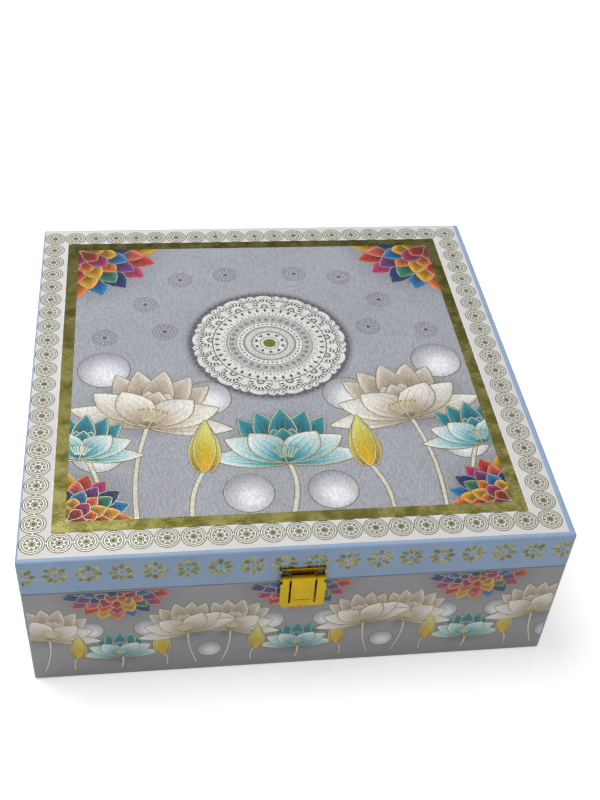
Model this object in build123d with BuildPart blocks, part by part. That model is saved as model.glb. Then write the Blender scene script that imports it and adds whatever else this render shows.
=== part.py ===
from build123d import *
import os

os.makedirs("parts", exist_ok=True)

# A square board gift box for four jars. Origin: centre of the underside. The front faces -Y,
# the lid turns up about the rear hinges at +Y. All sizes are in millimetres.

# Outside of the box
box_width = 254.0
box_depth = 254.0
box_height = 88.9
lid_height = 22.2
seam_gap = 0.2

# Board and papers
board = 3.0
wrap_paper = 0.3
lining_paper = 0.3
print_paper = 0.25
corner_round = 1.2
rim_round = 0.6
turn_in = 15.0

# Bare wrap left in view round the top sheet
print_margin_left = 1.2
print_margin_right = 5.0
print_margin_front = 2.4
print_margin_back = 1.6

# Jar tray
tray_board = 2.5
tray_height = 38.0
tray_clearance = 0.3
jar_spacing = 22.0
jar_hole_clearance = 0.8

# Jars
jar_neck_radius = 40.4
jar_neck_height = 13.5
jar_shoulder_width = 7.6
jar_headroom = 6.55
jar_wall = 2.6
jar_floor = 4.0
jar_heel_bevel = 5.0
jar_shoulder_bevel = 6.0
jar_bead_height = 2.2
jar_bead_depth = 1.2
jar_lip_bevel = 0.8

# Twist-off caps
cap_sheet = 0.5
cap_skirt_height = 11.5
cap_neck_clearance = 1.0
cap_edge_bevel = 1.8
cap_panel_sink = 0.8
cap_panel_margin = 5.0
cap_curl_radius = 0.8
cap_curl_sides = 6
liner_thickness = 0.8
liner_gap = 0.1
liner_side_gap = 0.15

# Butt hinges
hinge_spacing = 150.0
hinge_width = 25.0
hinge_leaf_height = 15.0
hinge_sheet = 0.8
hinge_knuckle_radius = 1.6
hinge_knuckle_count = 5
hinge_knuckle_gap = 0.15
hinge_pin_radius = 0.8
hinge_pin_clearance = 0.05
hinge_back_clearance = 0.35
hinge_leaf_gap = 0.3
hinge_corner_round = 2.0
screw_spread = 15.0
screw_height = 9.0
screw_shank_radius = 0.75
screw_head_radius = 1.6
screw_length = 3.1
fastener_clearance = 0.03

# Stamped flap latch
latch_width = 21.0
latch_sheet = 0.7
latch_pin_rise = 4.8
latch_pin_proud = 2.4
latch_pin_radius = 0.7
latch_pin_clearance = 0.06
latch_roll_radius = 1.5
latch_side_gap = 0.2
latch_plate_rise = 4.6
latch_plate_edge = 0.6
latch_window_width = 3.0
latch_window_height = 3.6
latch_ear_radius = 1.25
latch_flange_proud = 1.6
latch_slot_offset = 5.9
latch_slot_width = 1.0
latch_slot_land = 4.0
flap_length = 20.4
flap_shoulder_drop = 2.2
flap_bend_radius = 1.95
flap_corner_cut = 2.8
flap_flange_land = 4.0
flap_flange_gap = 1.2
flap_panel_width = 8.4
flap_panel_height = 6.6
flap_panel_land = 6.0
flap_panel_sink = 0.2
strike_width = 12.0
strike_edge = 2.5
strike_grip = 0.7
strike_clearance = 0.3
strike_lip_height = 2.6
strike_round = 0.35
rivet_shank_radius = 0.7
rivet_head_radius = 1.05
rivet_head_height = 0.5
rivet_length = 2.8
rivet_spread = 6.0
rivet_edge_margin = 1.5
strike_rivet_drop = 2.5

# Places worked out from the sizes above
base_height = box_height - lid_height - seam_gap
lid_bottom = box_height - lid_height
lid_wrap_top = box_height - print_paper
seam_height = (base_height + lid_bottom) / 2
core_width = box_width - 2 * wrap_paper
core_depth = box_depth - 2 * wrap_paper
cavity_width = core_width - 2 * board
cavity_depth = core_depth - 2 * board
room_width = cavity_width - 2 * lining_paper
room_depth = cavity_depth - 2 * lining_paper
core_round = corner_round - wrap_paper
front_face = -box_depth / 2
back_face = box_depth / 2
base_board_top = wrap_paper + board
floor_height = base_board_top + lining_paper
lid_board_bottom = lid_wrap_top - wrap_paper - board
base_rim = base_height - wrap_paper
lid_rim = lid_bottom + wrap_paper
lid_ceiling = lid_board_bottom - lining_paper
latch_pin_height = seam_height + latch_pin_rise
latch_plate_top = latch_pin_height + latch_plate_rise
latch_plate_bottom = lid_bottom + latch_plate_edge
flap_bottom = latch_pin_height - flap_length
strike_top = base_height - strike_edge


def write_part(piece, name):
    """Label a finished piece and write it under its own name."""
    piece.part.label = name
    export_step(piece.part, f"parts/{name}.step")


def front_plane(x, z):
    """Plane on the front face, looking outwards, with its own up along Z."""
    return Plane(origin=(x, front_face, z), x_dir=(1, 0, 0), z_dir=(0, -1, 0))


def back_plane(x, z):
    """Plane on the back face, looking outwards."""
    return Plane(origin=(x, back_face, z), x_dir=(-1, 0, 0), z_dir=(0, 1, 0))


# Board carcass. The front and back panels run the full width and the side panels stand
# between them, on the bottom panel or under the top panel.

hinge_places = (-hinge_spacing / 2, hinge_spacing / 2)
screw_places = [x + side * screw_spread / 2 for x in hinge_places for side in (-1, 1)]
base_screw_planes = [back_plane(x, seam_height - screw_height) for x in screw_places]
lid_screw_planes = [back_plane(x, seam_height + screw_height) for x in screw_places]
strike_rivet_height = strike_top - strike_rivet_drop
plate_rivet_height = latch_plate_bottom + rivet_edge_margin
rivet_places = (-rivet_spread / 2, rivet_spread / 2)
strike_rivet_planes = [front_plane(x, strike_rivet_height) for x in rivet_places]
plate_rivet_planes = [front_plane(x, plate_rivet_height) for x in rivet_places]


def long_panel(side, bottom, top, fastener_planes, hole_radius, hole_depth):
    """Front (side -1) or back (side +1) panel with its outer corners eased for the paper."""
    with BuildPart() as panel:
        with BuildSketch(Plane.XY.offset(bottom)):
            with Locations((0, side * (core_depth - board) / 2)):
                Rectangle(core_width, board)
        extrude(amount=top - bottom)
        outer = panel.edges().filter_by(Axis.Z).sort_by(Axis.Y)
        fillet(outer[-2:] if side > 0 else outer[:2], core_round)
        with Locations(*fastener_planes):
            Hole(hole_radius, depth=hole_depth)
    return panel


def side_panel(side, bottom, top):
    """Left (side -1) or right (side +1) panel, standing between the front and back panels."""
    with BuildPart() as panel:
        with BuildSketch(Plane.XY.offset(bottom)):
            with Locations((side * (core_width - board) / 2, 0)):
                Rectangle(board, cavity_depth)
        extrude(amount=top - bottom)
    return panel


screw_hole_radius = screw_shank_radius + fastener_clearance
rivet_hole_radius = rivet_shank_radius + fastener_clearance

with BuildPart() as base_bottom:
    with BuildSketch(Plane.XY.offset(wrap_paper)):
        RectangleRounded(core_width, core_depth, core_round)
    extrude(amount=board)
    fillet(base_bottom.edges().group_by(Axis.Z)[0], core_round)
write_part(base_bottom, "base_bottom")

base_front_wall = long_panel(
    -1, base_board_top, base_rim, strike_rivet_planes, rivet_hole_radius, rivet_length
)
write_part(base_front_wall, "base_front_wall")
base_back_wall = long_panel(
    1, base_board_top, base_rim, base_screw_planes, screw_hole_radius, screw_length
)
write_part(base_back_wall, "base_back_wall")
base_left_wall = side_panel(-1, base_board_top, base_rim)
write_part(base_left_wall, "base_left_wall")
base_right_wall = side_panel(1, base_board_top, base_rim)
write_part(base_right_wall, "base_right_wall")

with BuildPart() as lid_top_panel:
    with BuildSketch(Plane.XY.offset(lid_board_bottom)):
        RectangleRounded(core_width, core_depth, core_round)
    extrude(amount=board)
    fillet(lid_top_panel.edges().group_by(Axis.Z)[-1], core_round)
write_part(lid_top_panel, "lid_top_panel")

lid_front_rim = long_panel(
    -1, lid_rim, lid_board_bottom, plate_rivet_planes, rivet_hole_radius, rivet_length
)
write_part(lid_front_rim, "lid_front_rim")
lid_back_rim = long_panel(
    1, lid_rim, lid_board_bottom, lid_screw_planes, screw_hole_radius, screw_length
)
write_part(lid_back_rim, "lid_back_rim")
lid_left_rim = side_panel(-1, lid_rim, lid_board_bottom)
write_part(lid_left_rim, "lid_left_rim")
lid_right_rim = side_panel(1, lid_rim, lid_board_bottom)
write_part(lid_right_rim, "lid_right_rim")

# Papers. Each wrap is a skin of even thickness over the boards, turned over the rim.

with BuildPart() as base_core:
    with BuildSketch(Plane.XY.offset(wrap_paper)):
        RectangleRounded(core_width, core_depth, core_round)
    extrude(amount=base_rim - wrap_paper)
    fillet(base_core.edges().group_by(Axis.Z)[0], core_round)

with BuildPart() as base_wrap:
    with BuildSketch():
        RectangleRounded(box_width, box_depth, corner_round)
    extrude(amount=base_height)
    fillet(base_wrap.edges().group_by(Axis.Z)[0], corner_round)
    fillet(base_wrap.edges().group_by(Axis.Z)[-1], rim_round)
    add(base_core.part, mode=Mode.SUBTRACT)
    with BuildSketch(Plane.XY.offset(base_rim)):
        Rectangle(cavity_width, cavity_depth)
    extrude(amount=wrap_paper, mode=Mode.SUBTRACT)
    with BuildSketch():
        Rectangle(box_width - 2 * turn_in, box_depth - 2 * turn_in)
    extrude(amount=wrap_paper, mode=Mode.SUBTRACT)
    with Locations(*base_screw_planes):
        Hole(screw_hole_radius, depth=screw_length)
    with Locations(*strike_rivet_planes):
        Hole(rivet_hole_radius, depth=rivet_length)
write_part(base_wrap, "base_wrap")

with BuildPart() as base_underside_paper:
    with BuildSketch():
        Rectangle(box_width - 2 * turn_in, box_depth - 2 * turn_in)
    extrude(amount=wrap_paper)
write_part(base_underside_paper, "base_underside_paper")

with BuildPart() as base_lining:
    with BuildSketch(Plane.XY.offset(base_board_top)):
        Rectangle(cavity_width, cavity_depth)
    extrude(amount=base_rim - base_board_top)
    with BuildSketch(Plane.XY.offset(floor_height)):
        Rectangle(room_width, room_depth)
    extrude(amount=base_rim - floor_height, mode=Mode.SUBTRACT)
write_part(base_lining, "base_lining")

with BuildPart() as lid_core:
    with BuildSketch(Plane.XY.offset(lid_rim)):
        RectangleRounded(core_width, core_depth, core_round)
    extrude(amount=lid_wrap_top - wrap_paper - lid_rim)
    fillet(lid_core.edges().group_by(Axis.Z)[-1], core_round)

with BuildPart() as lid_wrap:
    with BuildSketch(Plane.XY.offset(lid_bottom)):
        RectangleRounded(box_width, box_depth, corner_round)
    extrude(amount=lid_wrap_top - lid_bottom)
    fillet(lid_wrap.edges().group_by(Axis.Z)[-1], corner_round)
    fillet(lid_wrap.edges().group_by(Axis.Z)[0], rim_round)
    add(lid_core.part, mode=Mode.SUBTRACT)
    with BuildSketch(Plane.XY.offset(lid_bottom)):
        Rectangle(cavity_width, cavity_depth)
    extrude(amount=wrap_paper, mode=Mode.SUBTRACT)
    with Locations(*lid_screw_planes):
        Hole(screw_hole_radius, depth=screw_length)
    with Locations(*plate_rivet_planes):
        Hole(rivet_hole_radius, depth=rivet_length)
write_part(lid_wrap, "lid_wrap")

print_width = box_width - print_margin_left - print_margin_right
print_depth = box_depth - print_margin_front - print_margin_back
print_centre = (
    (print_margin_left - print_margin_right) / 2,
    (print_margin_front - print_margin_back) / 2,
)

with BuildPart() as lid_top_print:
    with BuildSketch(Plane.XY.offset(lid_wrap_top)):
        with Locations(print_centre):
            Rectangle(print_width, print_depth)
    extrude(amount=print_paper)
write_part(lid_top_print, "lid_top_print")

with BuildPart() as lid_lining:
    with BuildSketch(Plane.XY.offset(lid_rim)):
        Rectangle(cavity_width, cavity_depth)
    extrude(amount=lid_board_bottom - lid_rim)
    with BuildSketch(Plane.XY.offset(lid_rim)):
        Rectangle(room_width, room_depth)
    extrude(amount=lid_ceiling - lid_rim, mode=Mode.SUBTRACT)
write_part(lid_lining, "lid_lining")

# Jar tray: a deck with four round cut-outs on four legs that stand along the walls.

jar_radius = jar_neck_radius + jar_shoulder_width
jar_pitch = 2 * jar_radius + jar_spacing
tray_width = room_width - 2 * tray_clearance
tray_depth = room_depth - 2 * tray_clearance
deck_bottom = floor_height + tray_height - tray_board
jar_places = [(x * jar_pitch / 2, y * jar_pitch / 2) for y in (-1, 1) for x in (-1, 1)]

with BuildPart() as jar_tray_deck:
    with BuildSketch(Plane.XY.offset(deck_bottom)):
        Rectangle(tray_width, tray_depth)
        with Locations(*jar_places):
            Circle(jar_radius + jar_hole_clearance, mode=Mode.SUBTRACT)
    extrude(amount=tray_board)
write_part(jar_tray_deck, "jar_tray_deck")


def tray_leg(width, depth, x, y):
    """Upright strip under the deck's edge."""
    with BuildPart() as leg:
        with BuildSketch(Plane.XY.offset(floor_height)):
            with Locations((x, y)):
                Rectangle(width, depth)
        extrude(amount=deck_bottom - floor_height)
    return leg


for leg_side, leg_name in ((-1, "front"), (1, "back")):
    long_leg = tray_leg(tray_width, tray_board, 0, leg_side * (tray_depth - tray_board) / 2)
    write_part(long_leg, f"jar_tray_{leg_name}_leg")
for leg_side, leg_name in ((-1, "left"), (1, "right")):
    short_depth = tray_depth - 2 * tray_board
    short_leg = tray_leg(tray_board, short_depth, leg_side * (tray_width - tray_board) / 2, 0)
    write_part(short_leg, f"jar_tray_{leg_name}_leg")

# Jars and their twist-off caps, turned shapes.

cap_top = lid_ceiling - jar_headroom
cap_ceiling = cap_top - cap_sheet
cap_bottom = cap_top - cap_skirt_height
liner_bottom = cap_ceiling - liner_thickness
jar_rim_height = liner_bottom - liner_gap
jar_shoulder_height = jar_rim_height - jar_neck_height
jar_bore_radius = jar_neck_radius - jar_wall
bead_bottom = jar_shoulder_height
bead_top = bead_bottom + jar_bead_height
cap_inner_radius = jar_neck_radius + cap_neck_clearance
cap_radius = cap_inner_radius + cap_sheet
cap_panel_radius = cap_radius - cap_panel_margin
liner_radius = cap_inner_radius - (cap_edge_bevel - cap_sheet) - liner_side_gap
liner_bore_radius = cap_panel_radius + cap_sheet + liner_side_gap


def turned_section(x, y):
    """Upright half plane through a jar's axis."""
    return Plane(origin=(x, y, 0), x_dir=(1, 0, 0), z_dir=(0, -1, 0))


def jar(x, y):
    """Squat glass jar with a bevelled heel and shoulder, a transfer bead and a plain neck."""
    section = turned_section(x, y)
    inside_radius = jar_radius - jar_wall
    inside_top = jar_shoulder_height - jar_wall
    inside_bevel = jar_shoulder_bevel - jar_wall / 2
    with BuildPart() as glass:
        with BuildSketch(section):
            with BuildLine():
                Polyline(
                    (0, floor_height),
                    (jar_radius - jar_heel_bevel, floor_height),
                    (jar_radius, floor_height + jar_heel_bevel),
                    (jar_radius, jar_shoulder_height - jar_shoulder_bevel),
                    (jar_radius - jar_shoulder_bevel, jar_shoulder_height),
                    (jar_neck_radius, jar_shoulder_height),
                    (jar_neck_radius, jar_rim_height),
                    (0, jar_rim_height),
                    close=True,
                )
            make_face()
        revolve(axis=Axis((x, y, 0), (0, 0, 1)))
        with BuildSketch(Plane.XY.offset(bead_bottom)):
            with Locations((x, y)):
                Circle(jar_neck_radius + jar_bead_depth)
        extrude(amount=jar_bead_height)
        with BuildSketch(section):
            with BuildLine():
                Polyline(
                    (0, floor_height + jar_floor),
                    (inside_radius, floor_height + jar_floor),
                    (inside_radius, inside_top - inside_bevel),
                    (inside_radius - inside_bevel, inside_top),
                    (jar_bore_radius, inside_top),
                    (jar_bore_radius, jar_rim_height),
                    (0, jar_rim_height),
                    close=True,
                )
            make_face()
        revolve(axis=Axis((x, y, 0), (0, 0, 1)), mode=Mode.SUBTRACT)
        lips = glass.edges().filter_by(GeomType.CIRCLE).group_by(Axis.Z)[-1]
        chamfer(lips, jar_lip_bevel)
    return glass


def jar_cap(x, y):
    """Pressed twist-off cap: sunk centre panel, straight skirt and a curled lower edge."""
    section = turned_section(x, y)
    spin = Axis((x, y, 0), (0, 0, 1))
    with BuildPart() as cap:
        with BuildSketch(Plane.XY.offset(cap_bottom)):
            with Locations((x, y)):
                Circle(cap_radius)
        extrude(amount=cap_skirt_height)
        with BuildSketch(Plane.XY.offset(cap_top - cap_panel_sink)):
            with Locations((x, y)):
                Circle(cap_panel_radius)
        extrude(amount=cap_panel_sink, mode=Mode.SUBTRACT)
        with BuildSketch(Plane.XY.offset(cap_bottom)):
            with Locations((x, y)):
                Circle(cap_inner_radius)
        extrude(amount=cap_skirt_height - cap_sheet - cap_panel_sink, mode=Mode.SUBTRACT)
        with BuildSketch(Plane.XY.offset(cap_bottom)):
            with Locations((x, y)):
                Circle(cap_inner_radius)
                Circle(cap_panel_radius + cap_sheet, mode=Mode.SUBTRACT)
        extrude(amount=cap_skirt_height - cap_sheet, mode=Mode.SUBTRACT)
        inside = cap.edges().filter_by(GeomType.CIRCLE)
        inside = inside.filter_by(lambda ring: abs(ring.radius - cap_inner_radius) < cap_sheet / 4)
        chamfer(inside.sort_by(Axis.Z)[-1], cap_edge_bevel - cap_sheet)
        outside = cap.edges().filter_by(GeomType.CIRCLE)
        outside = outside.filter_by(lambda ring: abs(ring.radius - cap_radius) < cap_sheet / 4)
        chamfer(outside.sort_by(Axis.Z)[-1], cap_edge_bevel)
        with BuildSketch(section):
            with Locations((cap_radius, cap_bottom + cap_curl_radius)):
                RegularPolygon(cap_curl_radius, cap_curl_sides)
        revolve(axis=spin)
    return cap


def cap_liner(x, y):
    """Flat sealing ring in the cap's channel, over the jar's lip."""
    with BuildPart() as liner:
        with BuildSketch(Plane.XY.offset(liner_bottom)):
            with Locations((x, y)):
                Circle(liner_radius)
                Circle(liner_bore_radius, mode=Mode.SUBTRACT)
        extrude(amount=liner_thickness)
    return liner


for jar_number, (jar_x, jar_y) in enumerate(jar_places, start=1):
    write_part(jar(jar_x, jar_y), f"jar_{jar_number}")
    write_part(jar_cap(jar_x, jar_y), f"jar_cap_{jar_number}")
    write_part(cap_liner(jar_x, jar_y), f"jar_cap_liner_{jar_number}")

# Butt hinges on the back face: the pin lies at the seam, just clear of the wrapped walls.

hinge_pin_y = back_face + hinge_back_clearance + hinge_knuckle_radius
knuckle_pitch = hinge_width / hinge_knuckle_count
leaf_start = hinge_knuckle_radius + hinge_leaf_gap


def hinge_leaf(centre, rise, first_knuckle):
    """One leaf; rise is +1 for the lid's leaf and -1 for the base's, with every other knuckle."""
    left_end = centre - hinge_width / 2
    with BuildPart() as leaf:
        with BuildSketch(back_plane(centre, seam_height)):
            with Locations((0, rise * (leaf_start + hinge_leaf_height) / 2)):
                Rectangle(hinge_width, hinge_leaf_height - leaf_start)
        extrude(amount=hinge_sheet)
        far_corners = leaf.edges().filter_by(Axis.Y).group_by(Axis.Z)[-1 if rise > 0 else 0]
        fillet(far_corners, hinge_corner_round)
        for index in range(first_knuckle, hinge_knuckle_count, 2):
            with BuildSketch(Plane.YZ.offset(left_end + index * knuckle_pitch + hinge_knuckle_gap)):
                with Locations((back_face + hinge_sheet / 2, seam_height + rise * leaf_start / 2)):
                    Rectangle(hinge_sheet, leaf_start)
                with Locations((hinge_pin_y, seam_height)):
                    Circle(hinge_knuckle_radius)
                    Circle(hinge_pin_radius + hinge_pin_clearance, mode=Mode.SUBTRACT)
            extrude(amount=knuckle_pitch - 2 * hinge_knuckle_gap)
        head_planes = [
            back_plane(centre + side * screw_spread / 2, seam_height + rise * screw_height)
            for side in (-1, 1)
        ]
        with Locations(*head_planes):
            Cone(
                screw_shank_radius + fastener_clearance,
                screw_head_radius + fastener_clearance,
                hinge_sheet,
                align=(Align.CENTER, Align.CENTER, Align.MIN),
                mode=Mode.SUBTRACT,
            )
    return leaf


def hinge_screws(planes):
    """Flat-headed screws, their heads flush with the leaf."""
    with BuildPart() as screws:
        with Locations(*planes):
            Cylinder(screw_shank_radius, screw_length, align=(Align.CENTER, Align.CENTER, Align.MAX))
            Cone(
                screw_shank_radius,
                screw_head_radius,
                hinge_sheet,
                align=(Align.CENTER, Align.CENTER, Align.MIN),
            )
    return screws


for hinge_x, hinge_name in zip(hinge_places, ("left", "right")):
    write_part(hinge_leaf(hinge_x, -1, 0), f"hinge_base_leaf_{hinge_name}")
    write_part(hinge_leaf(hinge_x, 1, 1), f"hinge_lid_leaf_{hinge_name}")
    with BuildPart() as hinge_pin:
        with BuildSketch(Plane.YZ.offset(hinge_x - hinge_width / 2)):
            with Locations((hinge_pin_y, seam_height)):
                Circle(hinge_pin_radius)
        extrude(amount=hinge_width)
    write_part(hinge_pin, f"hinge_pin_{hinge_name}")

write_part(hinge_screws(base_screw_planes), "hinge_base_screws")
write_part(hinge_screws(lid_screw_planes), "hinge_lid_screws")

# Flap latch. The lid's plate has four ears that hold the pin: two at its sides and two that
# stand in the flap's slots. The flap is one stamped sheet, rolled round the pin at its top and
# hooked at its bottom under the strike on the base.

latch_pin_y = front_face - latch_pin_proud
roll_width = latch_width - 2 * latch_sheet - 2 * latch_side_gap
flap_outer_y = latch_pin_y - latch_roll_radius
flap_inner_y = flap_outer_y + latch_sheet
inner_ear_sheet = latch_slot_width - 2 * latch_side_gap
window_centre = (latch_slot_offset + latch_slot_width / 2 + roll_width / 2) / 2
window_middle = latch_pin_height + latch_window_height / 2

with BuildPart() as latch_lid_plate:
    with BuildSketch(front_plane(0, 0)):
        with Locations((0, (latch_plate_top + latch_plate_bottom) / 2)):
            Rectangle(latch_width, latch_plate_top - latch_plate_bottom)
        with Locations((-window_centre, window_middle), (window_centre, window_middle)):
            Rectangle(latch_window_width, latch_window_height, mode=Mode.SUBTRACT)
    extrude(amount=latch_sheet)
    for ear_x, ear_sheet in (
        (-(latch_width - latch_sheet) / 2, latch_sheet),
        (-latch_slot_offset, inner_ear_sheet),
        (latch_slot_offset, inner_ear_sheet),
        ((latch_width - latch_sheet) / 2, latch_sheet),
    ):
        with BuildSketch(Plane.YZ.offset(ear_x - ear_sheet / 2)):
            with Locations((latch_pin_y, latch_pin_height)):
                Circle(latch_ear_radius)
            with Locations(((front_face + latch_pin_y) / 2, latch_pin_height)):
                Rectangle(latch_pin_proud, 2 * latch_ear_radius)
        extrude(amount=ear_sheet)
    flange_height = latch_plate_top - latch_pin_height
    for flange_x in (-(latch_width - latch_sheet) / 2, (latch_width - latch_sheet) / 2):
        with BuildSketch(Plane.YZ.offset(flange_x - latch_sheet / 2)):
            with Locations(
                (front_face - latch_flange_proud / 2, latch_pin_height + flange_height / 2)
            ):
                Rectangle(latch_flange_proud, flange_height)
        extrude(amount=latch_sheet)
    with BuildSketch(Plane.YZ.offset(-latch_width / 2)):
        with Locations((latch_pin_y, latch_pin_height)):
            Circle(latch_pin_radius + fastener_clearance)
    extrude(amount=latch_width, mode=Mode.SUBTRACT)
    with Locations(*[plane.offset(latch_sheet) for plane in plate_rivet_planes]):
        Hole(rivet_hole_radius, depth=latch_sheet)
write_part(latch_lid_plate, "latch_lid_plate")

with BuildPart() as latch_pin:
    with BuildSketch(Plane.YZ.offset(-latch_width / 2)):
        with Locations((latch_pin_y, latch_pin_height)):
            Circle(latch_pin_radius)
    extrude(amount=latch_width)
write_part(latch_pin, "latch_pin")

bend_y = flap_outer_y + flap_bend_radius
bend_z = flap_bottom + flap_bend_radius
flap_shoulder = latch_pin_height - flap_shoulder_drop
flap_flange_bottom = flap_bottom + flap_flange_land
latch_slot_bottom = flap_bottom + latch_slot_land
flap_panel_bottom = flap_bottom + flap_panel_land


def flap_strip(width, top):
    """The flap's sheet in side view, from top down to the hook, across a width about the middle."""
    with BuildPart() as strip:
        with BuildSketch(Plane.YZ.offset(-width / 2)):
            with BuildLine():
                Line((flap_outer_y, top), (flap_outer_y, bend_z))
                CenterArc((bend_y, bend_z), flap_bend_radius, 180, 90)
                Line((bend_y, flap_bottom), (bend_y, flap_bottom + latch_sheet))
                CenterArc((bend_y, bend_z), flap_bend_radius - latch_sheet, 180, 90)
                Line((flap_inner_y, bend_z), (flap_inner_y, top))
                Line((flap_inner_y, top), (flap_outer_y, top))
            make_face()
        extrude(amount=width)
    return strip


narrow_strip = flap_strip(roll_width, latch_pin_height)
wide_strip = flap_strip(latch_width, flap_shoulder)

with BuildPart() as latch_flap:
    add(narrow_strip.part)
    add(wide_strip.part)
    with BuildSketch(Plane.YZ.offset(-roll_width / 2)):
        with Locations((latch_pin_y, latch_pin_height)):
            Circle(latch_roll_radius)
    extrude(amount=roll_width)
    flange_front = front_face - flap_flange_gap
    flange_middle = ((flange_front + flap_outer_y) / 2, (flap_shoulder + flap_flange_bottom) / 2)
    for flange_x in (-(latch_width - latch_sheet) / 2, (latch_width - latch_sheet) / 2):
        with BuildSketch(Plane.YZ.offset(flange_x - latch_sheet / 2)):
            with Locations(flange_middle):
                Rectangle(flange_front - flap_outer_y, flap_shoulder - flap_flange_bottom)
        extrude(amount=latch_sheet)
    with BuildSketch(Plane.YZ.offset(-roll_width / 2)):
        with Locations((latch_pin_y, latch_pin_height)):
            Circle(latch_pin_radius + latch_pin_clearance)
    extrude(amount=roll_width, mode=Mode.SUBTRACT)
    slot_top = latch_pin_height + latch_roll_radius
    slot_places = [
        (side * latch_slot_offset, (slot_top + latch_slot_bottom) / 2) for side in (-1, 1)
    ]
    with BuildSketch(front_plane(0, 0)):
        with Locations(*slot_places):
            Rectangle(latch_slot_width, slot_top - latch_slot_bottom)
        for side in (-1, 1):
            with BuildLine():
                Polyline(
                    (side * latch_width / 2, flap_bottom),
                    (side * latch_width / 2, flap_bottom + flap_corner_cut),
                    (side * (latch_width / 2 - flap_corner_cut), flap_bottom),
                    close=True,
                )
            make_face()
    extrude(amount=front_face - flap_outer_y, mode=Mode.SUBTRACT)
    sink_plane = front_plane(0, 0).offset(front_face - flap_outer_y - flap_panel_sink)
    with BuildSketch(sink_plane):
        with Locations((0, flap_panel_bottom + flap_panel_height / 2)):
            Rectangle(flap_panel_width, flap_panel_height)
    extrude(amount=flap_panel_sink, mode=Mode.SUBTRACT)
write_part(latch_flap, "latch_flap")

strike_lip_y = bend_y - strike_grip
strike_lip_bottom = flap_bottom + latch_sheet + strike_clearance
strike_web_top = strike_lip_bottom + strike_lip_height

with BuildPart() as latch_strike:
    with BuildSketch(Plane.YZ.offset(-strike_width / 2)):
        with BuildLine():
            Polyline(
                (front_face, strike_top),
                (front_face, strike_web_top - latch_sheet),
                (strike_lip_y + latch_sheet, strike_web_top - latch_sheet),
                (strike_lip_y + latch_sheet, strike_lip_bottom),
                (strike_lip_y, strike_lip_bottom),
                (strike_lip_y, strike_web_top),
                (front_face - latch_sheet, strike_web_top),
                (front_face - latch_sheet, strike_top),
                close=True,
            )
        make_face()
        lip_corners = vertices().group_by(Axis.X)[0]
        fillet(lip_corners, strike_round)
    extrude(amount=strike_width)
    with Locations(*[plane.offset(latch_sheet) for plane in strike_rivet_planes]):
        Hole(rivet_hole_radius, depth=latch_sheet)
write_part(latch_strike, "latch_strike")


def rivets(planes):
    """Round-headed rivets through a latch plate into the board."""
    with BuildPart() as group:
        with Locations(*planes):
            Cylinder(
                rivet_shank_radius,
                rivet_length + latch_sheet,
                align=(Align.CENTER, Align.CENTER, Align.MAX),
            )
            Cone(
                rivet_head_radius,
                rivet_shank_radius,
                rivet_head_height,
                align=(Align.CENTER, Align.CENTER, Align.MIN),
            )
    return group


write_part(rivets([plane.offset(latch_sheet) for plane in plate_rivet_planes]), "latch_lid_rivets")
write_part(
    rivets([plane.offset(latch_sheet) for plane in strike_rivet_planes]), "latch_strike_rivets"
)
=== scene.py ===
"""Looks of a square board gift box for four jars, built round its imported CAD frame.

The papers, prints and foils are made here as surfaces worked out with numpy. The boards, the tray,
the jars, the caps, the hinges and the latch are the CAD nodes, dressed with procedural finishes.
Lengths are in millimetres up to the last step, where a mesh is put into Blender in metres.
"""

import logging
import math
from dataclasses import dataclass, field
from enum import Enum

import bpy
import numpy as np
from mathutils import Matrix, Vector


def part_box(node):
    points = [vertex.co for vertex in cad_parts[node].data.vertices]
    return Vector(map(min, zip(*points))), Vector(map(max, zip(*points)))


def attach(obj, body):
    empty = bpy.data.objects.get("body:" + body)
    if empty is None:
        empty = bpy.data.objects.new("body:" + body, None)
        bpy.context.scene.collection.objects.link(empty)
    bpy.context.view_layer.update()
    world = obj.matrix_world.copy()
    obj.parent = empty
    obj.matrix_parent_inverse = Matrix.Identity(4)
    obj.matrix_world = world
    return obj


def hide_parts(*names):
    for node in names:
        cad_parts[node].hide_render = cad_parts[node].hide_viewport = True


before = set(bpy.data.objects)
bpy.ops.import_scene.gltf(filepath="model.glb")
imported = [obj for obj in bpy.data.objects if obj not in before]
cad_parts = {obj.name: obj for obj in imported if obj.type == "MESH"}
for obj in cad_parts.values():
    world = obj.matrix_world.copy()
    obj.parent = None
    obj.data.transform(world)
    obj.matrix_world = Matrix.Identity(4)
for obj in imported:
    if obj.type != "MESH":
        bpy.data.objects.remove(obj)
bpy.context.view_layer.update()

LOG = logging.getLogger("gift_box")
MM = 0.001
TURN = 2 * math.pi

# Print level of the foil frame, which lies above every other foil.
FRAME_LEVEL = 44

# In millimetres: the wrapping papers' thickness, how far a print stands off a side and off the top
# sheet, the row that holds the shading beside a rounded edge, and how far a print keeps from it.
PAPER_THICKNESS = 0.18
SIDE_GAP = 0.01
TOP_GAP = 0.004
EDGE_ROW = 0.5
PRINT_MARGIN = 0.3

Socket = bpy.types.NodeSocket
Material = bpy.types.Material
Piece = bpy.types.Object


def node_box(name: str) -> tuple[np.ndarray, np.ndarray]:
    """Lowest and highest corner of a CAD node, in millimetres."""
    low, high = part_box(name)
    return np.array(low) / MM, np.array(high) / MM


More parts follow.
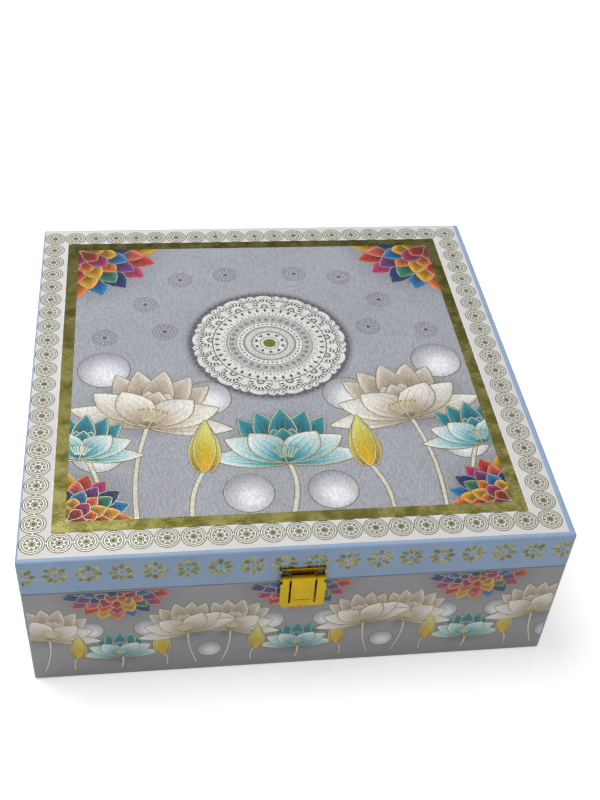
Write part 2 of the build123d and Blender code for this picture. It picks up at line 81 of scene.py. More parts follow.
class Tint(Enum):
    """Colours of papers, inks and metals, as sRGB bytes."""

    PAPER_BLUE = (152, 178, 210)
    BORDER_IVORY = (223, 222, 220)
    GROUND_LAVENDER = (171, 173, 181)
    GROUND_BASE = (157, 156, 159)
    LINE_WHITE = (238, 238, 240)
    INK_OLIVE = (92, 88, 62)
    INK_GREY = (98, 99, 106)
    LACE_WHITE = (232, 231, 228)
    SHADOW = (96, 95, 106)
    IVORY = (240, 234, 224)
    BEIGE = (190, 172, 152)
    BROWN = (112, 88, 70)
    TEAL_PALE = (190, 226, 228)
    TEAL = (54, 156, 170)
    TEAL_DEEP = (14, 84, 98)
    YELLOW_PALE = (230, 224, 126)
    YELLOW = (206, 182, 32)
    YELLOW_DEEP = (150, 120, 20)
    STEM = (224, 221, 208)
    PETAL_WHITE = (250, 248, 244)
    PEARL = (246, 247, 250)
    PEARL_BODY = (208, 209, 216)
    PEARL_EDGE = (156, 157, 168)
    LACE_DARK = (58, 58, 60)
    LACE_GREY = (196, 196, 192)
    RIM_SHADOW = (100, 101, 108)
    OLIVE_EYE = (110, 116, 34)
    ORANGE = (240, 122, 44)
    AMBER = (244, 178, 40)
    RED = (214, 62, 50)
    CORAL = (236, 104, 92)
    MAGENTA = (196, 52, 112)
    PURPLE = (122, 58, 140)
    NAVY = (36, 60, 120)
    SKY = (40, 130, 196)
    GREEN = (62, 138, 112)
    LINING_WHITE = (226, 224, 218)
    BOARD_GREY = (150, 143, 132)
    TRAY_BLUE = (108, 126, 162)
    SEAL_CREAM = (226, 222, 206)

    @property
    def linear(self) -> np.ndarray:
        """The colour as three linear values from 0 to 1."""
        share = np.array(self.value) / 255
        return np.where(share <= 0.04045, share / 12.92, ((share + 0.055) / 1.055) ** 2.4)

    @property
    def rgba(self) -> tuple[float, float, float, float]:
        """The colour as a socket value."""
        return (*self.linear, 1.0)

    def toward(self, other: "Tint", share: float) -> np.ndarray:
        """Linear mix of this colour and another."""
        return (1 - share) * self.linear + share * other.linear


class Side(Enum):
    """The box's upright faces: the direction along the face and the one that looks out of it."""

    FRONT = ((1, 0, 0), (0, -1, 0))
    RIGHT = ((0, 1, 0), (1, 0, 0))
    BACK = ((-1, 0, 0), (0, 1, 0))
    LEFT = ((0, -1, 0), (-1, 0, 0))


# Flat patches


@dataclass
class Patch:
    """A flat sheet of coloured quads in its own plane, in millimetres.

    Args:
        points: Places in the plane, one row of two values each.
        quads: Corners of each face, anticlockwise.
        colours: Linear colour of each point.
        levels: Height of each point above the sheet, in print levels.
    """

    points: np.ndarray
    quads: np.ndarray
    colours: np.ndarray
    levels: np.ndarray = field(default_factory=lambda: np.zeros(0))

    def __post_init__(self) -> None:
        """Give every point level nought where no levels were handed in."""
        if not len(self.levels):
            self.levels = np.zeros(len(self.points))

    def raised(self, level: float) -> "Patch":
        """The same patch, a number of print levels higher."""
        return Patch(self.points, self.quads, self.colours, self.levels + level)

    def placed(
        self, x: float, y: float, turn: float = 0.0, size: float = 1.0, mirror: bool = False
    ) -> "Patch":
        """Scale the patch, mirror it left to right if asked, turn it and move it.

        Args:
            x: Place of its origin along the plane.
            y: Place of its origin up the plane.
            turn: Anticlockwise turn in radians.
            size: Scale.
            mirror: Whether to swap left and right first.

        Returns:
            The moved patch, its faces still anticlockwise.
        """
        spin = np.array([[math.cos(turn), math.sin(turn)], [-math.sin(turn), math.cos(turn)]])
        flip = np.array([-1.0 if mirror else 1.0, 1.0])
        points = (self.points * flip * size) @ spin + (x, y)
        quads = self.quads[:, ::-1] if mirror else self.quads
        return Patch(points, quads, self.colours, self.levels)

    def repeated(self, places: np.ndarray, turns: np.ndarray | None = None) -> "Patch":
        """Copies of the patch, each turned by its turn and moved to its place.

        Args:
            places: One row of two values for each copy.
            turns: One anticlockwise turn in radians for each copy, or none where they stand.

        Returns:
            All the copies as one patch.
        """
        count = len(places)
        turns = np.zeros(count) if turns is None else turns
        cos, sin = np.cos(turns), np.sin(turns)
        spin = np.stack([np.stack([cos, sin], -1), np.stack([-sin, cos], -1)], axis=1)
        points = self.points[None] @ spin + np.asarray(places)[:, None]
        shift = np.arange(count)[:, None, None] * len(self.points)
        return Patch(
            points.reshape(-1, 2),
            (self.quads[None] + shift).reshape(-1, 4),
            np.tile(self.colours, (count, 1)),
            np.tile(self.levels, count),
        )

    def within(self, low: tuple[float, float], high: tuple[float, float]) -> "Patch":
        """Cut the patch off at a window: points outside move to its edge and flat faces go.

        Args:
            low: The window's lower left corner.
            high: The window's upper right corner.

        Returns:
            The part of the patch inside the window.
        """
        points = np.clip(self.points, low, high)
        across = points[self.quads[:, 2]] - points[self.quads[:, 0]]
        along = points[self.quads[:, 3]] - points[self.quads[:, 1]]
        area = across[:, 0] * along[:, 1] - across[:, 1] * along[:, 0]
        return Patch(points, self.quads[area > 1e-4], self.colours, self.levels)


def joined(patches: list[Patch]) -> Patch:
    """Put patches together.

    Args:
        patches: One or more patches.

    Returns:
        All of them as one.
    """
    starts = np.cumsum([0] + [len(p.points) for p in patches[:-1]])
    return Patch(
        np.concatenate([p.points for p in patches]),
        np.concatenate([p.quads + s for p, s in zip(patches, starts)]),
        np.concatenate([p.colours for p in patches]),
        np.concatenate([p.levels for p in patches]),
    )


def lattice(rows: int, columns: int, closed: bool = False) -> np.ndarray:
    """Quads between the points of a grid that is listed row by row.

    Args:
        rows: Points up the grid.
        columns: Points along the grid.
        closed: Whether the last column meets the first.

    Returns:
        Four point numbers for each quad.
    """
    index = np.arange(rows * columns).reshape(rows, columns)
    left = index if closed else index[:, :-1]
    right = np.roll(index, -1, axis=1) if closed else index[:, 1:]
    return np.stack([left[:-1], right[:-1], right[1:], left[1:]], axis=-1).reshape(-1, 4)


Ink = Tint | np.ndarray
Stops = list[tuple[float, Ink]]


def blended(share: np.ndarray, stops: Stops) -> np.ndarray:
    """Colour along a scale: straight mixes between the stops, channel by channel.

    Args:
        share: Places on the scale.
        stops: Place and colour of each stop, in order.

    Returns:
        One linear colour for each place.
    """
    places = [place for place, _ in stops]
    tints = np.array([ink.linear if isinstance(ink, Tint) else ink for _, ink in stops])
    return np.stack([np.interp(share, places, tints[:, channel]) for channel in range(3)], axis=-1)


def even(ink: Ink) -> Stops:
    """One colour all along a scale."""
    return [(0.0, ink), (1.0, ink)]


def plain(count: int, tint: Tint) -> np.ndarray:
    """One colour for a number of points."""
    return np.tile(tint.linear, (count, 1))


def rectangle(low: tuple[float, float], high: tuple[float, float], tint: Tint) -> Patch:
    """One flat quad between two corners."""
    points = np.array([low, (high[0], low[1]), high, (low[0], high[1])], float)
    return Patch(points, np.array([[0, 1, 2, 3]]), plain(4, tint))


def band(inner: np.ndarray, outer: np.ndarray, tint: Tint, closed: bool = True) -> Patch:
    """Strip of quads between two lines with as many points, both running clockwise."""
    points = np.concatenate([inner, outer])
    return Patch(points, lattice(2, len(inner), closed), plain(len(points), tint))


def round_line(radius: float, count: int, start: float = 0.0, sweep: float = TURN) -> np.ndarray:
    """Points on a circle, clockwise: radius times the cosine and sine of an even sweep."""
    angle = start - np.arange(count) * sweep / (count if sweep == TURN else count - 1)
    return radius * np.stack([np.cos(angle), np.sin(angle)], axis=-1)


def on_circle(radius: float, count: int, shift: float = 0.0) -> tuple[np.ndarray, np.ndarray]:
    """Places evenly round a circle, anticlockwise from straight up: the radius times minus the
    sine and times the cosine of an even turn.

    Args:
        radius: Of the circle.
        count: Number of places.
        shift: Turn of them all, in steps.

    Returns:
        The places, and the turn that points outwards at each of them.
    """
    turns = (np.arange(count) + shift) * TURN / count
    return radius * np.stack([-np.sin(turns), np.cos(turns)], -1), turns


def ring(radius: float, width: float, tint: Tint, count: int = 40) -> Patch:
    """Flat ring of a line's width about the origin: two circles joined by quads."""
    inner, outer = round_line(radius - width / 2, count), round_line(radius + width / 2, count)
    return band(inner, outer, tint)


def disc(radius: float, stops: Stops, cells: int = 6) -> Patch:
    """Round sheet without a pole, coloured by its distance from the centre.

    A square grid from -1 to 1 is drawn onto the disc: each coordinate is multiplied by the root of
    one less half the other's square.

    Args:
        radius: Radius of the sheet.
        stops: Colours by share of the radius.
        cells: Quads along each side of the square.

    Returns:
        The sheet.
    """
    line = np.linspace(-1, 1, cells + 1)
    x, y = (axis.ravel() for axis in np.meshgrid(line, line))
    points = radius * np.stack([x * np.sqrt(1 - y * y / 2), y * np.sqrt(1 - x * x / 2)], axis=-1)
    share = np.linalg.norm(points, axis=1) / radius
    return Patch(points, lattice(cells + 1, cells + 1), blended(share, stops))


def petal_width(along: np.ndarray, blunt: float) -> np.ndarray:
    """Half width of a petal: the sine of half a turn times the share along raised to a power, a
    little fuller than the bare sine.

    Args:
        along: Shares of the length, from base (0) to tip (1).
        blunt: The power. The higher, the nearer the tip the petal is widest.

    Returns:
        The half width as a share of the widest.
    """
    return np.sin(math.pi * np.clip(along, 0, 1) ** blunt) ** 0.85


def petal(
    length: float,
    width: float,
    stops: Stops,
    blunt: float = 1.25,
    bend: float = 0.0,
    rows: int = 10,
    columns: int = 7,
    shade: float = 0.3,
) -> Patch:
    """Petal that points up the plane: its half width times a share across, its length times a
    share along, leaned over by the bend times the square of the share along. Rows lie closer
    together at both ends, by half a cosine. The colours run along it, the middle of the petal
    lags behind its edges, and its right half falls into shade.

    Args:
        length: From base to tip.
        width: At the widest.
        stops: Colours from base to tip.
        blunt: How near the tip it is widest.
        bend: Sideways shift of the tip.
        rows: Points along.
        columns: Points across.
        shade: How dark the right edge is.

    Returns:
        The petal.
    """
    even = np.linspace(0.03, 0.985, rows)
    along, across = np.meshgrid((1 - np.cos(even * math.pi)) / 2, np.linspace(-1, 1, columns))
    along, across = along.T.ravel(), across.T.ravel()
    x = across * petal_width(along, blunt) * width / 2 + bend * along**2
    share = np.clip(along * (0.72 + 0.28 * across**2) + 0.04 * across**2, 0, 1)
    colours = blended(share, stops) * (1 - shade * np.clip(across, 0, 1) ** 1.5)[:, None]
    return Patch(np.stack([x, along * length], -1), lattice(rows, columns), colours)


def petal_line(
    length: float, width: float, line: float, blunt: float = 1.25, bend: float = 0.0, count: int = 10
) -> Patch:
    """Outline of a petal as a strip of a line's width, drawn from the same widths as petal().

    Args:
        length: From base to tip.
        width: At the widest.
        line: Width of the line.
        blunt: How near the tip the petal is widest.
        bend: Sideways shift of the tip.
        count: Points along each edge.

    Returns:
        The strip, open at the petal's base.
    """
    along = (1 - np.cos(np.linspace(0.03, 1, count) * math.pi)) / 2
    half = petal_width(along, blunt) * width / 2
    lean = bend * along**2
    left = np.stack([lean - half, along * length], -1)
    right = np.stack([lean + half, along * length], -1)[::-1]
    return stroke(np.concatenate([left, right[1:]]), line, Tint.INK_OLIVE)


def petal_veins(length: float, width: float, line: float, tint: Tint, blunt: float, bend: float) -> Patch:
    """Four veins of a petal: each keeps its share of the petal's half width as it runs along, and
    narrows to nothing.

    Args:
        length: Of the petal.
        width: Of the petal.
        line: Width of a vein at its foot.
        tint: Colour.
        blunt: How near the tip the petal is widest.
        bend: Sideways shift of the tip.

    Returns:
        The veins.
    """
    along = np.linspace(0.16, 0.78, 7)
    half = petal_width(along, blunt) * width / 2
    lines = []
    for share in (-0.6, -0.22, 0.22, 0.6):
        path = np.stack([share * half + bend * along**2, along * length], -1)
        lines.append(stroke(path, line * np.linspace(1, 0.1, len(along)), tint))
    return joined(lines)


def stroke(path: np.ndarray, width: float | np.ndarray, tint: Tint) -> Patch:
    """Flat ribbon along a line: each point moves half the width to either side, square to the
    line's direction there.

    Args:
        path: Points of the line.
        width: Width of the ribbon, or its width at each point.
        tint: Colour.

    Returns:
        The ribbon.
    """
    along = np.gradient(path, axis=0)
    along /= np.maximum(np.linalg.norm(along, axis=1, keepdims=True), 1e-9)
    across = np.stack([-along[:, 1], along[:, 0]], -1) * np.asarray(width).reshape(-1, 1) / 2
    return band(path - across, path + across, tint, closed=False)


@dataclass
class Artwork:
    """Inks and foils gathered for one face.

    Args:
        inks: Coloured patches.
        foils: Foil lines and shapes.
    """

    inks: list[Patch] = field(default_factory=list)
    foils: list[Patch] = field(default_factory=list)

    def ink(self, patch: Patch, level: float = 0.0) -> None:
        """Print a patch, a number of levels up."""
        self.inks.append(patch.raised(level))

    def gild(self, patch: Patch, level: float = 0.0) -> None:
        """Stamp a patch in foil, a number of levels up."""
        self.foils.append(patch.raised(level))

    def stamp(
        self,
        motif: "Artwork",
        x: float = 0.0,
        y: float = 0.0,
        turn: float = 0.0,
        size: float = 1.0,
        mirror: bool = False,
        level: float = 0.0,
    ) -> None:
        """Add a moved copy of another artwork.

        Args:
            motif: The other artwork.
            x: Place of its origin along the plane.
            y: Place of its origin up the plane.
            turn: Anticlockwise turn in radians.
            size: Scale.
            mirror: Whether to swap left and right first.
            level: Number of levels up.
        """
        for patch in motif.inks:
            self.ink(patch.placed(x, y, turn, size, mirror), level)
        for patch in motif.foils:
            self.gild(patch.placed(x, y, turn, size, mirror), level)

    def within(self, low: tuple[float, float], high: tuple[float, float]) -> "Artwork":
        """Cut the artwork off at a window.

        Args:
            low: The window's lower left corner.
            high: The window's upper right corner.

        Returns:
            The part inside the window.
        """
        return Artwork(
            [patch.within(low, high) for patch in self.inks],
            [patch.within(low, high) for patch in self.foils],
        )


# Motifs


@dataclass(frozen=True)
class Palette:
    """Colours of one kind of flower, from base to tip.

    Args:
        outer: Petals seen from outside.
        inner: Petals seen from inside.
        vein: Veins of the petals.
    """

    outer: tuple[tuple[float, Tint], ...]
    inner: tuple[tuple[float, Tint], ...]
    vein: Tint


IVORY_FLOWER = Palette(
    outer=((0.0, Tint.BROWN), (0.24, Tint.BEIGE), (0.5, Tint.IVORY), (0.85, Tint.PETAL_WHITE)),
    inner=((0.0, Tint.BROWN), (0.32, Tint.BROWN), (0.55, Tint.BEIGE), (0.95, Tint.PETAL_WHITE)),
    vein=Tint.BEIGE,
)
TEAL_FLOWER = Palette(
    outer=((0.0, Tint.TEAL_DEEP), (0.2, Tint.TEAL), (0.5, Tint.TEAL_PALE), (0.8, Tint.PETAL_WHITE)),
    inner=((0.0, Tint.TEAL_DEEP), (0.45, Tint.TEAL_DEEP), (0.75, Tint.TEAL), (1.0, Tint.TEAL_PALE)),
    vein=Tint.TEAL,
)
FAN_TINTS = (
    Tint.AMBER,
    Tint.ORANGE,
    Tint.RED,
    Tint.CORAL,
    Tint.MAGENTA,
    Tint.PURPLE,
    Tint.NAVY,
    Tint.GREEN,
    Tint.SKY,
    Tint.AMBER,
    Tint.ORANGE,
    Tint.MAGENTA,
)


def soft_shadow(width: float, height: float, ground: Tint, depth: float = 0.8) -> Patch:
    """Round patch that fades from a shadow to the ground's colour, drawn out to an oval.

    Args:
        width: Of the oval.
        height: Of the oval.
        ground: Colour that it fades to.
        depth: How far its middle reaches the shadow's colour.

    Returns:
        The shadow.
    """
    dark, half_dark = ground.toward(Tint.SHADOW, depth), ground.toward(Tint.SHADOW, 0.3)
    patch = disc(1.0, [(0.0, dark), (0.45, dark), (0.75, half_dark), (1.0, ground)], cells=12)
    return Patch(patch.points * (width / 2, height / 2), patch.quads, patch.colours)


@dataclass
class Flower:
    """Artwork of petals laid one over another, each with a dark edge and a foil outline.

    Args:
        line: Width of the foil lines, in units of the flower's height.
        art: The patches.
        level: Level of the next petal.
    """

    line: float
    art: Artwork = field(default_factory=Artwork)
    level: float = 0.0

    def add(
        self, stops: Stops, turn: float, shift: float = 0.0, vein: Tint | None = None, **shape: float
    ) -> None:
        """Lay the next petal on top.

        Args:
            stops: Colours from base to tip.
            turn: Anticlockwise turn in radians.
            shift: Sideways place of its base.
            vein: Colour of its veins, if it has any.
            shape: Length, width, blunt and bend of the petal.
        """
        edge = petal_line(line=2.2 * self.line, **shape).placed(shift, 0, turn)
        self.art.ink(edge, self.level)
        self.art.ink(petal(stops=stops, **shape).placed(shift, 0, turn), self.level + 0.4)
        if vein:
            veins = petal_veins(line=1.6 * self.line, tint=vein, **shape).placed(shift, 0, turn)
            self.art.ink(veins, self.level + 0.55)
        self.art.gild(petal_line(line=self.line, **shape).placed(shift, 0, turn), self.level + 0.7)
        self.level += 1


def water_lily(palette: Palette, line: float) -> Artwork:
    """Water lily seen from the side, one unit high, its base at the origin: a back row of upright
    petals, a front row that leans out, and a short petal in the middle.

    Args:
        palette: Colours of the petals.
        line: Width of the foil lines, in units of the flower's height.

    Returns:
        The flower.
    """
    flower = Flower(line)
    rows = (
        (palette.inner, 0.96, 0.36, 0.04, 1.1, (-0.56, 0.56, -0.29, 0.29, 0.0)),
        (palette.outer, 0.94, 0.30, 0.16, 1.0, (-1.26, 1.26)),
        (palette.outer, 0.84, 0.38, 0.12, 1.15, (-0.88, 0.88)),
        (palette.inner, 0.60, 0.34, 0.0, 1.1, (-0.2, 0.2, 0.0)),
        (palette.outer, 0.66, 0.42, 0.10, 1.15, (-0.52, 0.52)),
    )
    for stops, length, width, bend, blunt, angles in rows:
        for angle in angles:
            lean = math.copysign(bend, angle) if angle else 0.0
            flower.add(
                list(stops), -angle, vein=palette.vein, length=length, width=width, blunt=blunt, bend=lean
            )
    for angle in np.linspace(-0.5, 0.5, 7):
        tip = np.array([0.34 * math.sin(angle), 0.30 * math.cos(angle)])
        flower.art.gild(stroke(np.linspace(0.35 * tip, tip, 3), line * 1.3, Tint.YELLOW), flower.level)
        bead = disc(0.016, [(0.0, Tint.YELLOW), (1.0, Tint.YELLOW_DEEP)], cells=2)
        flower.art.ink(bead.placed(*tip), flower.level + 0.3)
    return flower.art


def tulip(line: float) -> Artwork:
    """Closed yellow bud, one unit high, its base at the origin: two petals behind one.

    Args:
        line: Width of the foil lines, in units of the bud's height.

    Returns:
        The bud.
    """
    flower = Flower(line)
    side = [(0.0, Tint.YELLOW_DEEP), (0.3, Tint.YELLOW), (0.75, Tint.YELLOW_PALE), (1.0, Tint.YELLOW)]
    front = [(0.0, Tint.AMBER), (0.3, Tint.YELLOW), (0.65, Tint.YELLOW_PALE), (1.0, Tint.YELLOW)]
    for shift in (-0.085, 0.085):
        flower.add(side, shift * 0.9, shift, length=0.93, width=0.32, blunt=0.86)
    flower.add(front, 0.0, length=1.0, width=0.3, blunt=0.84)
    return flower.art


def stem(start: tuple[float, float], end: tuple[float, float], sag: float, width: float) -> Artwork:
    """Stem from a flower down to its foot: a straight run plus a sideways sine bow.

    Args:
        start: Its upper end.
        end: Its lower end.
        sag: Sideways bow at the middle.
        width: Width of the stem.

    Returns:
        The stem with a foil line on each edge.
    """
    share = np.linspace(0, 1, 20)[:, None]
    path = (1 - share) * np.array(start) + share * np.array(end)
    path[:, 0] += sag * np.sin(share[:, 0] * math.pi)
    art = Artwork()
    art.ink(stroke(path, 1.3 * width, Tint.INK_OLIVE))
    art.ink(stroke(path, width, Tint.STEM), 0.3)
    for side in (-1, 1):
        art.gild(stroke(path + (side * width * 0.42, 0), width / 6, Tint.YELLOW), 0.6)
    return art


def pearl(radius: float, line: float) -> Artwork:
    """Round pale pearl, coloured by the distance from a light spot below its middle, with a dark
    line and a foil ring.

    Args:
        radius: Of the pearl.
        line: Width of the lines.

    Returns:
        The pearl.
    """
    body = disc(radius, even(Tint.PEARL), cells=16)
    away = np.linalg.norm(body.points / radius - (0.1, -0.28), axis=1)
    stops = [(0.0, Tint.PEARL), (0.28, Tint.PEARL), (0.7, Tint.PEARL_BODY), (1.25, Tint.PEARL_EDGE)]
    art = Artwork()
    art.ink(Patch(body.points, body.quads, blended(away, stops)))
    art.ink(ring(radius, 1.4 * line, Tint.INK_OLIVE), 0.3)
    art.gild(ring(radius - 1.2 * line, 0.6 * line, Tint.YELLOW), 0.5)
    return art


def rainbow_fan(radius: float, sweep: float, line: float) -> Artwork:
    """Tiers of pointed petals about a centre, each tier shorter and shifted by half a petal. They
    open clockwise from straight up.

    Args:
        radius: Reach of the longest tier.
        sweep: Angle that the fan covers.
        line: Width of the foil lines.

    Returns:
        The fan, its centre at the origin.
    """
    flower = Flower(line)
    for tier, full_count in enumerate((20, 18, 16, 12, 10)):
        length = radius * (1 - 0.17 * tier)
        count = round(full_count * sweep / TURN) + 1
        flower.level = 2.4 * tier
        for index in range(count):
            angle = (index + 0.5 * (tier % 2)) * sweep / (count - 1)
            tint = FAN_TINTS[(index * 2 + tier * 3) % len(FAN_TINTS)]
            shaded = 0.25 * tint.linear
            tip = tint.toward(Tint.PETAL_WHITE, 0.35)
            stops = [(0.0, shaded), (0.56, shaded), (0.76, tint), (0.92, tint), (1.0, tip)]
            flower.level = 2.4 * tier + 1.2 * (index % 2)
            width = length * TURN / full_count
            flower.add(stops, -angle, length=length, width=width, blunt=1.9)
    return flower.art


def line_rosette(radius: float, tint: Tint) -> Artwork:
    """Small printed rosette: three fine rings, a ring of dots and a dark eye.

    Args:
        radius: Of the outer ring.
        tint: Ink of the rings and dots.

    Returns:
        The rosette.
    """
    art = Artwork()
    for share in (1.0, 0.82, 0.44):
        art.ink(ring(share * radius, 0.045 * radius, tint, count=28))
    dot = disc(0.07 * radius, even(tint), cells=2)
    art.ink(dot.repeated(*on_circle(0.64 * radius, 12)))
    art.ink(disc(0.2 * radius, even(Tint.INK_GREY), cells=3))
    return art


def foil_daisy(radius: float, open_centre: float = 0.26) -> Patch:
    """Eight pointed oval petals round a small dot.

    Args:
        radius: Reach of the petals.
        open_centre: Where the petals start, as a share of the radius.

    Returns:
        The flower.
    """
    stops = even(Tint.YELLOW)
    length = radius * (1 - open_centre)
    leaf = petal(length, 0.43 * radius, stops, blunt=1.2, rows=7, columns=3)
    leaves = leaf.repeated(*on_circle(open_centre * radius, 8))
    return joined([leaves, disc(0.12 * radius, stops, cells=3)])


@dataclass(frozen=True)
class Mandala:
    """Round white lace medallion made of rings of drops, dots, dashes and fans.

    Args:
        radius: Outer radius of the lace.
        lobes: Number of lace fans round the edge.
    """

    radius: float = 41.5
    lobes: int = 13

    def around(self, patch: Patch, share: float, count: int, shift: float = 0.0) -> Patch:
        """Copies of a patch that points outwards, evenly round a circle.

        Args:
            patch: Drawn pointing up the plane, in millimetres.
            share: Circle's radius as a share of the medallion's.
            count: Number of copies.
            shift: Turn of the first copy, in steps.

        Returns:
            The copies as one patch.
        """
        return patch.repeated(*on_circle(share * self.radius, count, shift))

    def spot(self, share: float, ink: Ink, cells: int = 2) -> Patch:
        """Round dot, its radius a share of the medallion's."""
        return disc(share * self.radius, even(ink), cells=cells)

    def drop(self, length: float, width: float, ink: Ink) -> Patch:
        """Teardrop that points inwards, in shares of the medallion's radius."""
        r = self.radius
        return petal(length * r, width * r, even(ink), 1.3, rows=5, columns=3)

    def lobe(self, art: Artwork) -> None:
        """Fans round the edge: a white round with a grey heart and dark rays, and two small white
        curls in each gap.

        Args:
            art: Artwork to add to.
        """
        white, dark, pale = Tint.LACE_WHITE, Tint.LACE_DARK, Tint.LACE_GREY
        art.ink(self.around(self.spot(0.19, white, 6), 0.815, self.lobes), 1.0)
        for shift in (0.38, 0.62):
            art.ink(self.around(self.spot(0.066, Tint.RIM_SHADOW, 4), 0.94, self.lobes, shift), 1.2)
            art.ink(self.around(self.spot(0.056, white, 4), 0.945, self.lobes, shift), 1.4)
            curl = stroke(round_line(0.03 * self.radius, 12, 0.0, 4.6), 0.012 * self.radius, dark)
            art.ink(self.around(curl, 0.94, self.lobes, shift), 1.7)
        art.ink(self.around(self.spot(0.152, Tint.RIM_SHADOW, 6), 0.79, self.lobes), 1.5)
        art.ink(self.around(self.spot(0.142, white, 6), 0.79, self.lobes), 1.7)
        rays = joined([
            self.drop(0.062, 0.03, dark).placed(
                0.075 * self.radius * math.sin(turn), 0.075 * self.radius * math.cos(turn), -turn
            )
            for turn in np.linspace(-1.6, 1.6, 9)
        ])
        art.ink(self.around(rays, 0.79, self.lobes), 2.0)
        art.ink(self.around(self.spot(0.05, dark, 3), 0.765, self.lobes), 2.0)
        art.ink(self.around(self.spot(0.034, pale, 3), 0.765, self.lobes), 2.3)

    def draw(self) -> Artwork:
        """Draw the medallion from its rim inwards. Each ring gives its place, its size and its
        dots' size as shares of the medallion's radius.

        Returns:
            The whole medallion, its centre at the origin.
        """
        art = Artwork()
        r, white, dark, pale = self.radius, Tint.LACE_WHITE, Tint.LACE_DARK, Tint.LACE_GREY
        rim = Tint.RIM_SHADOW
        fade = [(0.0, rim), (0.9, rim), (1.0, Tint.GROUND_LAVENDER)]
        art.ink(disc(1.12 * r, fade, cells=24))
        art.ink(self.around(self.spot(0.04, rim, 3), 1.015, 72), 0.3)
        art.ink(self.spot(0.97, white, 20), 0.6)
        self.lobe(art)
        art.ink(self.spot(0.745, dark, 20), 3.0)
        art.ink(self.spot(0.733, white, 20), 3.2)
        art.ink(self.around(self.drop(0.075, 0.04, dark), 0.645, 40), 3.5)
        art.ink(self.around(self.spot(0.010, dark), 0.615, 40, 0.5), 3.5)
        art.ink(self.around(self.spot(0.009, dark), 0.588, 80), 3.5)
        for share in (0.562, 0.548):
            art.ink(ring(share * r, 0.007 * r, dark, count=72), 3.5)
        art.ink(ring(0.487 * r, 0.098 * r, pale, count=72), 3.5)
        art.ink(self.around(ring(0.028 * r, 0.009 * r, Tint.INK_GREY, count=10), 0.487, 32), 3.8)
        art.ink(self.around(self.spot(0.014, dark), 0.487, 32), 3.8)
        art.ink(self.around(self.spot(0.008, Tint.INK_GREY), 0.523, 64), 3.8)
        art.ink(ring(0.432 * r, 0.008 * r, dark, count=64), 3.8)
        art.ink(self.around(self.spot(0.013, dark), 0.387, 40), 3.8)
        art.ink(self.spot(0.345, dark, 12), 4.0)
        art.ink(self.spot(0.335, pale, 12), 4.2)
        bar = rectangle((-0.009 * r, 0), (0.009 * r, 0.062 * r), white)
        art.ink(self.around(bar, 0.252, 48), 4.5)
        art.ink(ring(0.322 * r, 0.006 * r, Tint.INK_GREY, count=48), 4.5)
        art.ink(self.spot(0.235, dark, 10), 4.8)
        art.ink(self.spot(0.224, white, 10), 5.0)
        art.ink(self.around(self.drop(0.05, 0.05, dark), 0.15, 10), 5.3)
        art.ink(self.around(self.spot(0.008, dark), 0.205, 20, 0.5), 5.3)
        art.ink(ring(0.122 * r, 0.01 * r, Tint.INK_GREY, count=32), 5.3)
        art.ink(self.spot(0.085, Tint.OLIVE_EYE, 4), 5.6)
        art.gild(ring(0.085 * r, 0.012 * r, Tint.YELLOW, count=32), 6)
        art.gild(ring(0.70 * r, 0.005 * r, Tint.YELLOW, count=72), 4)
        return art


def foil_coin(radius: float) -> Artwork:
    """Coin rosette of the border: white and foil rings between dark ones, eight dark dashes with
    foil beads between them, and an olive eye in a foil ring.

    Args:
        radius: Of the coin.

    Returns:
        The coin.
    """
    art = Artwork()
    for share, width in ((0.90, 0.42), (0.70, 0.4), (0.36, 0.5)):
        art.ink(ring(share * radius, width, Tint.PETAL_WHITE, count=32))
    for share, width in ((0.99, 0.44), (0.80, 0.38), (0.60, 0.36), (0.25, 0.44)):
        art.ink(ring(share * radius, width, Tint.INK_OLIVE, count=32), 0.4)
    for share, width in ((0.90, 0.2), (0.70, 0.2), (0.36, 0.2)):
        art.gild(ring(share * radius, width, Tint.YELLOW, count=32))
    dash = rectangle((-0.5, -0.38), (0.5, 0.38), Tint.INK_OLIVE)
    art.ink(dash.repeated(*on_circle(0.47 * radius, 8)), 0.4)
    bead = disc(0.3, even(Tint.YELLOW), cells=2)
    art.gild(bead.repeated(*on_circle(0.49 * radius, 8, 0.5)))
    art.ink(disc(0.19 * radius, [(0.0, Tint.OLIVE_EYE), (1.0, Tint.INK_OLIVE)], cells=4), 0.6)
    art.gild(ring(0.19 * radius, 0.18, Tint.YELLOW, count=20))
    return art


# Surfaces in space


@dataclass(frozen=True)
class PrintPlane:
    """Where a face's artwork lies, in millimetres.

    Args:
        origin: Place of the artwork's origin.
        along: Direction of its first axis.
        up: Direction of its second axis.
        out: Direction out of the face.
        step: Thickness of one print level.
    """

    origin: tuple[float, float, float]
    along: tuple[float, float, float]
    up: tuple[float, float, float]
    out: tuple[float, float, float]
    step: float = 0.0035

    def lift(self, patch: Patch) -> np.ndarray:
        """Places in space: origin plus each plane coordinate times its axis plus the level."""
        flat = patch.points[:, :1] * np.array(self.along) + patch.points[:, 1:] * np.array(self.up)
        return np.array(self.origin) + flat + patch.levels[:, None] * self.step * np.array(self.out)


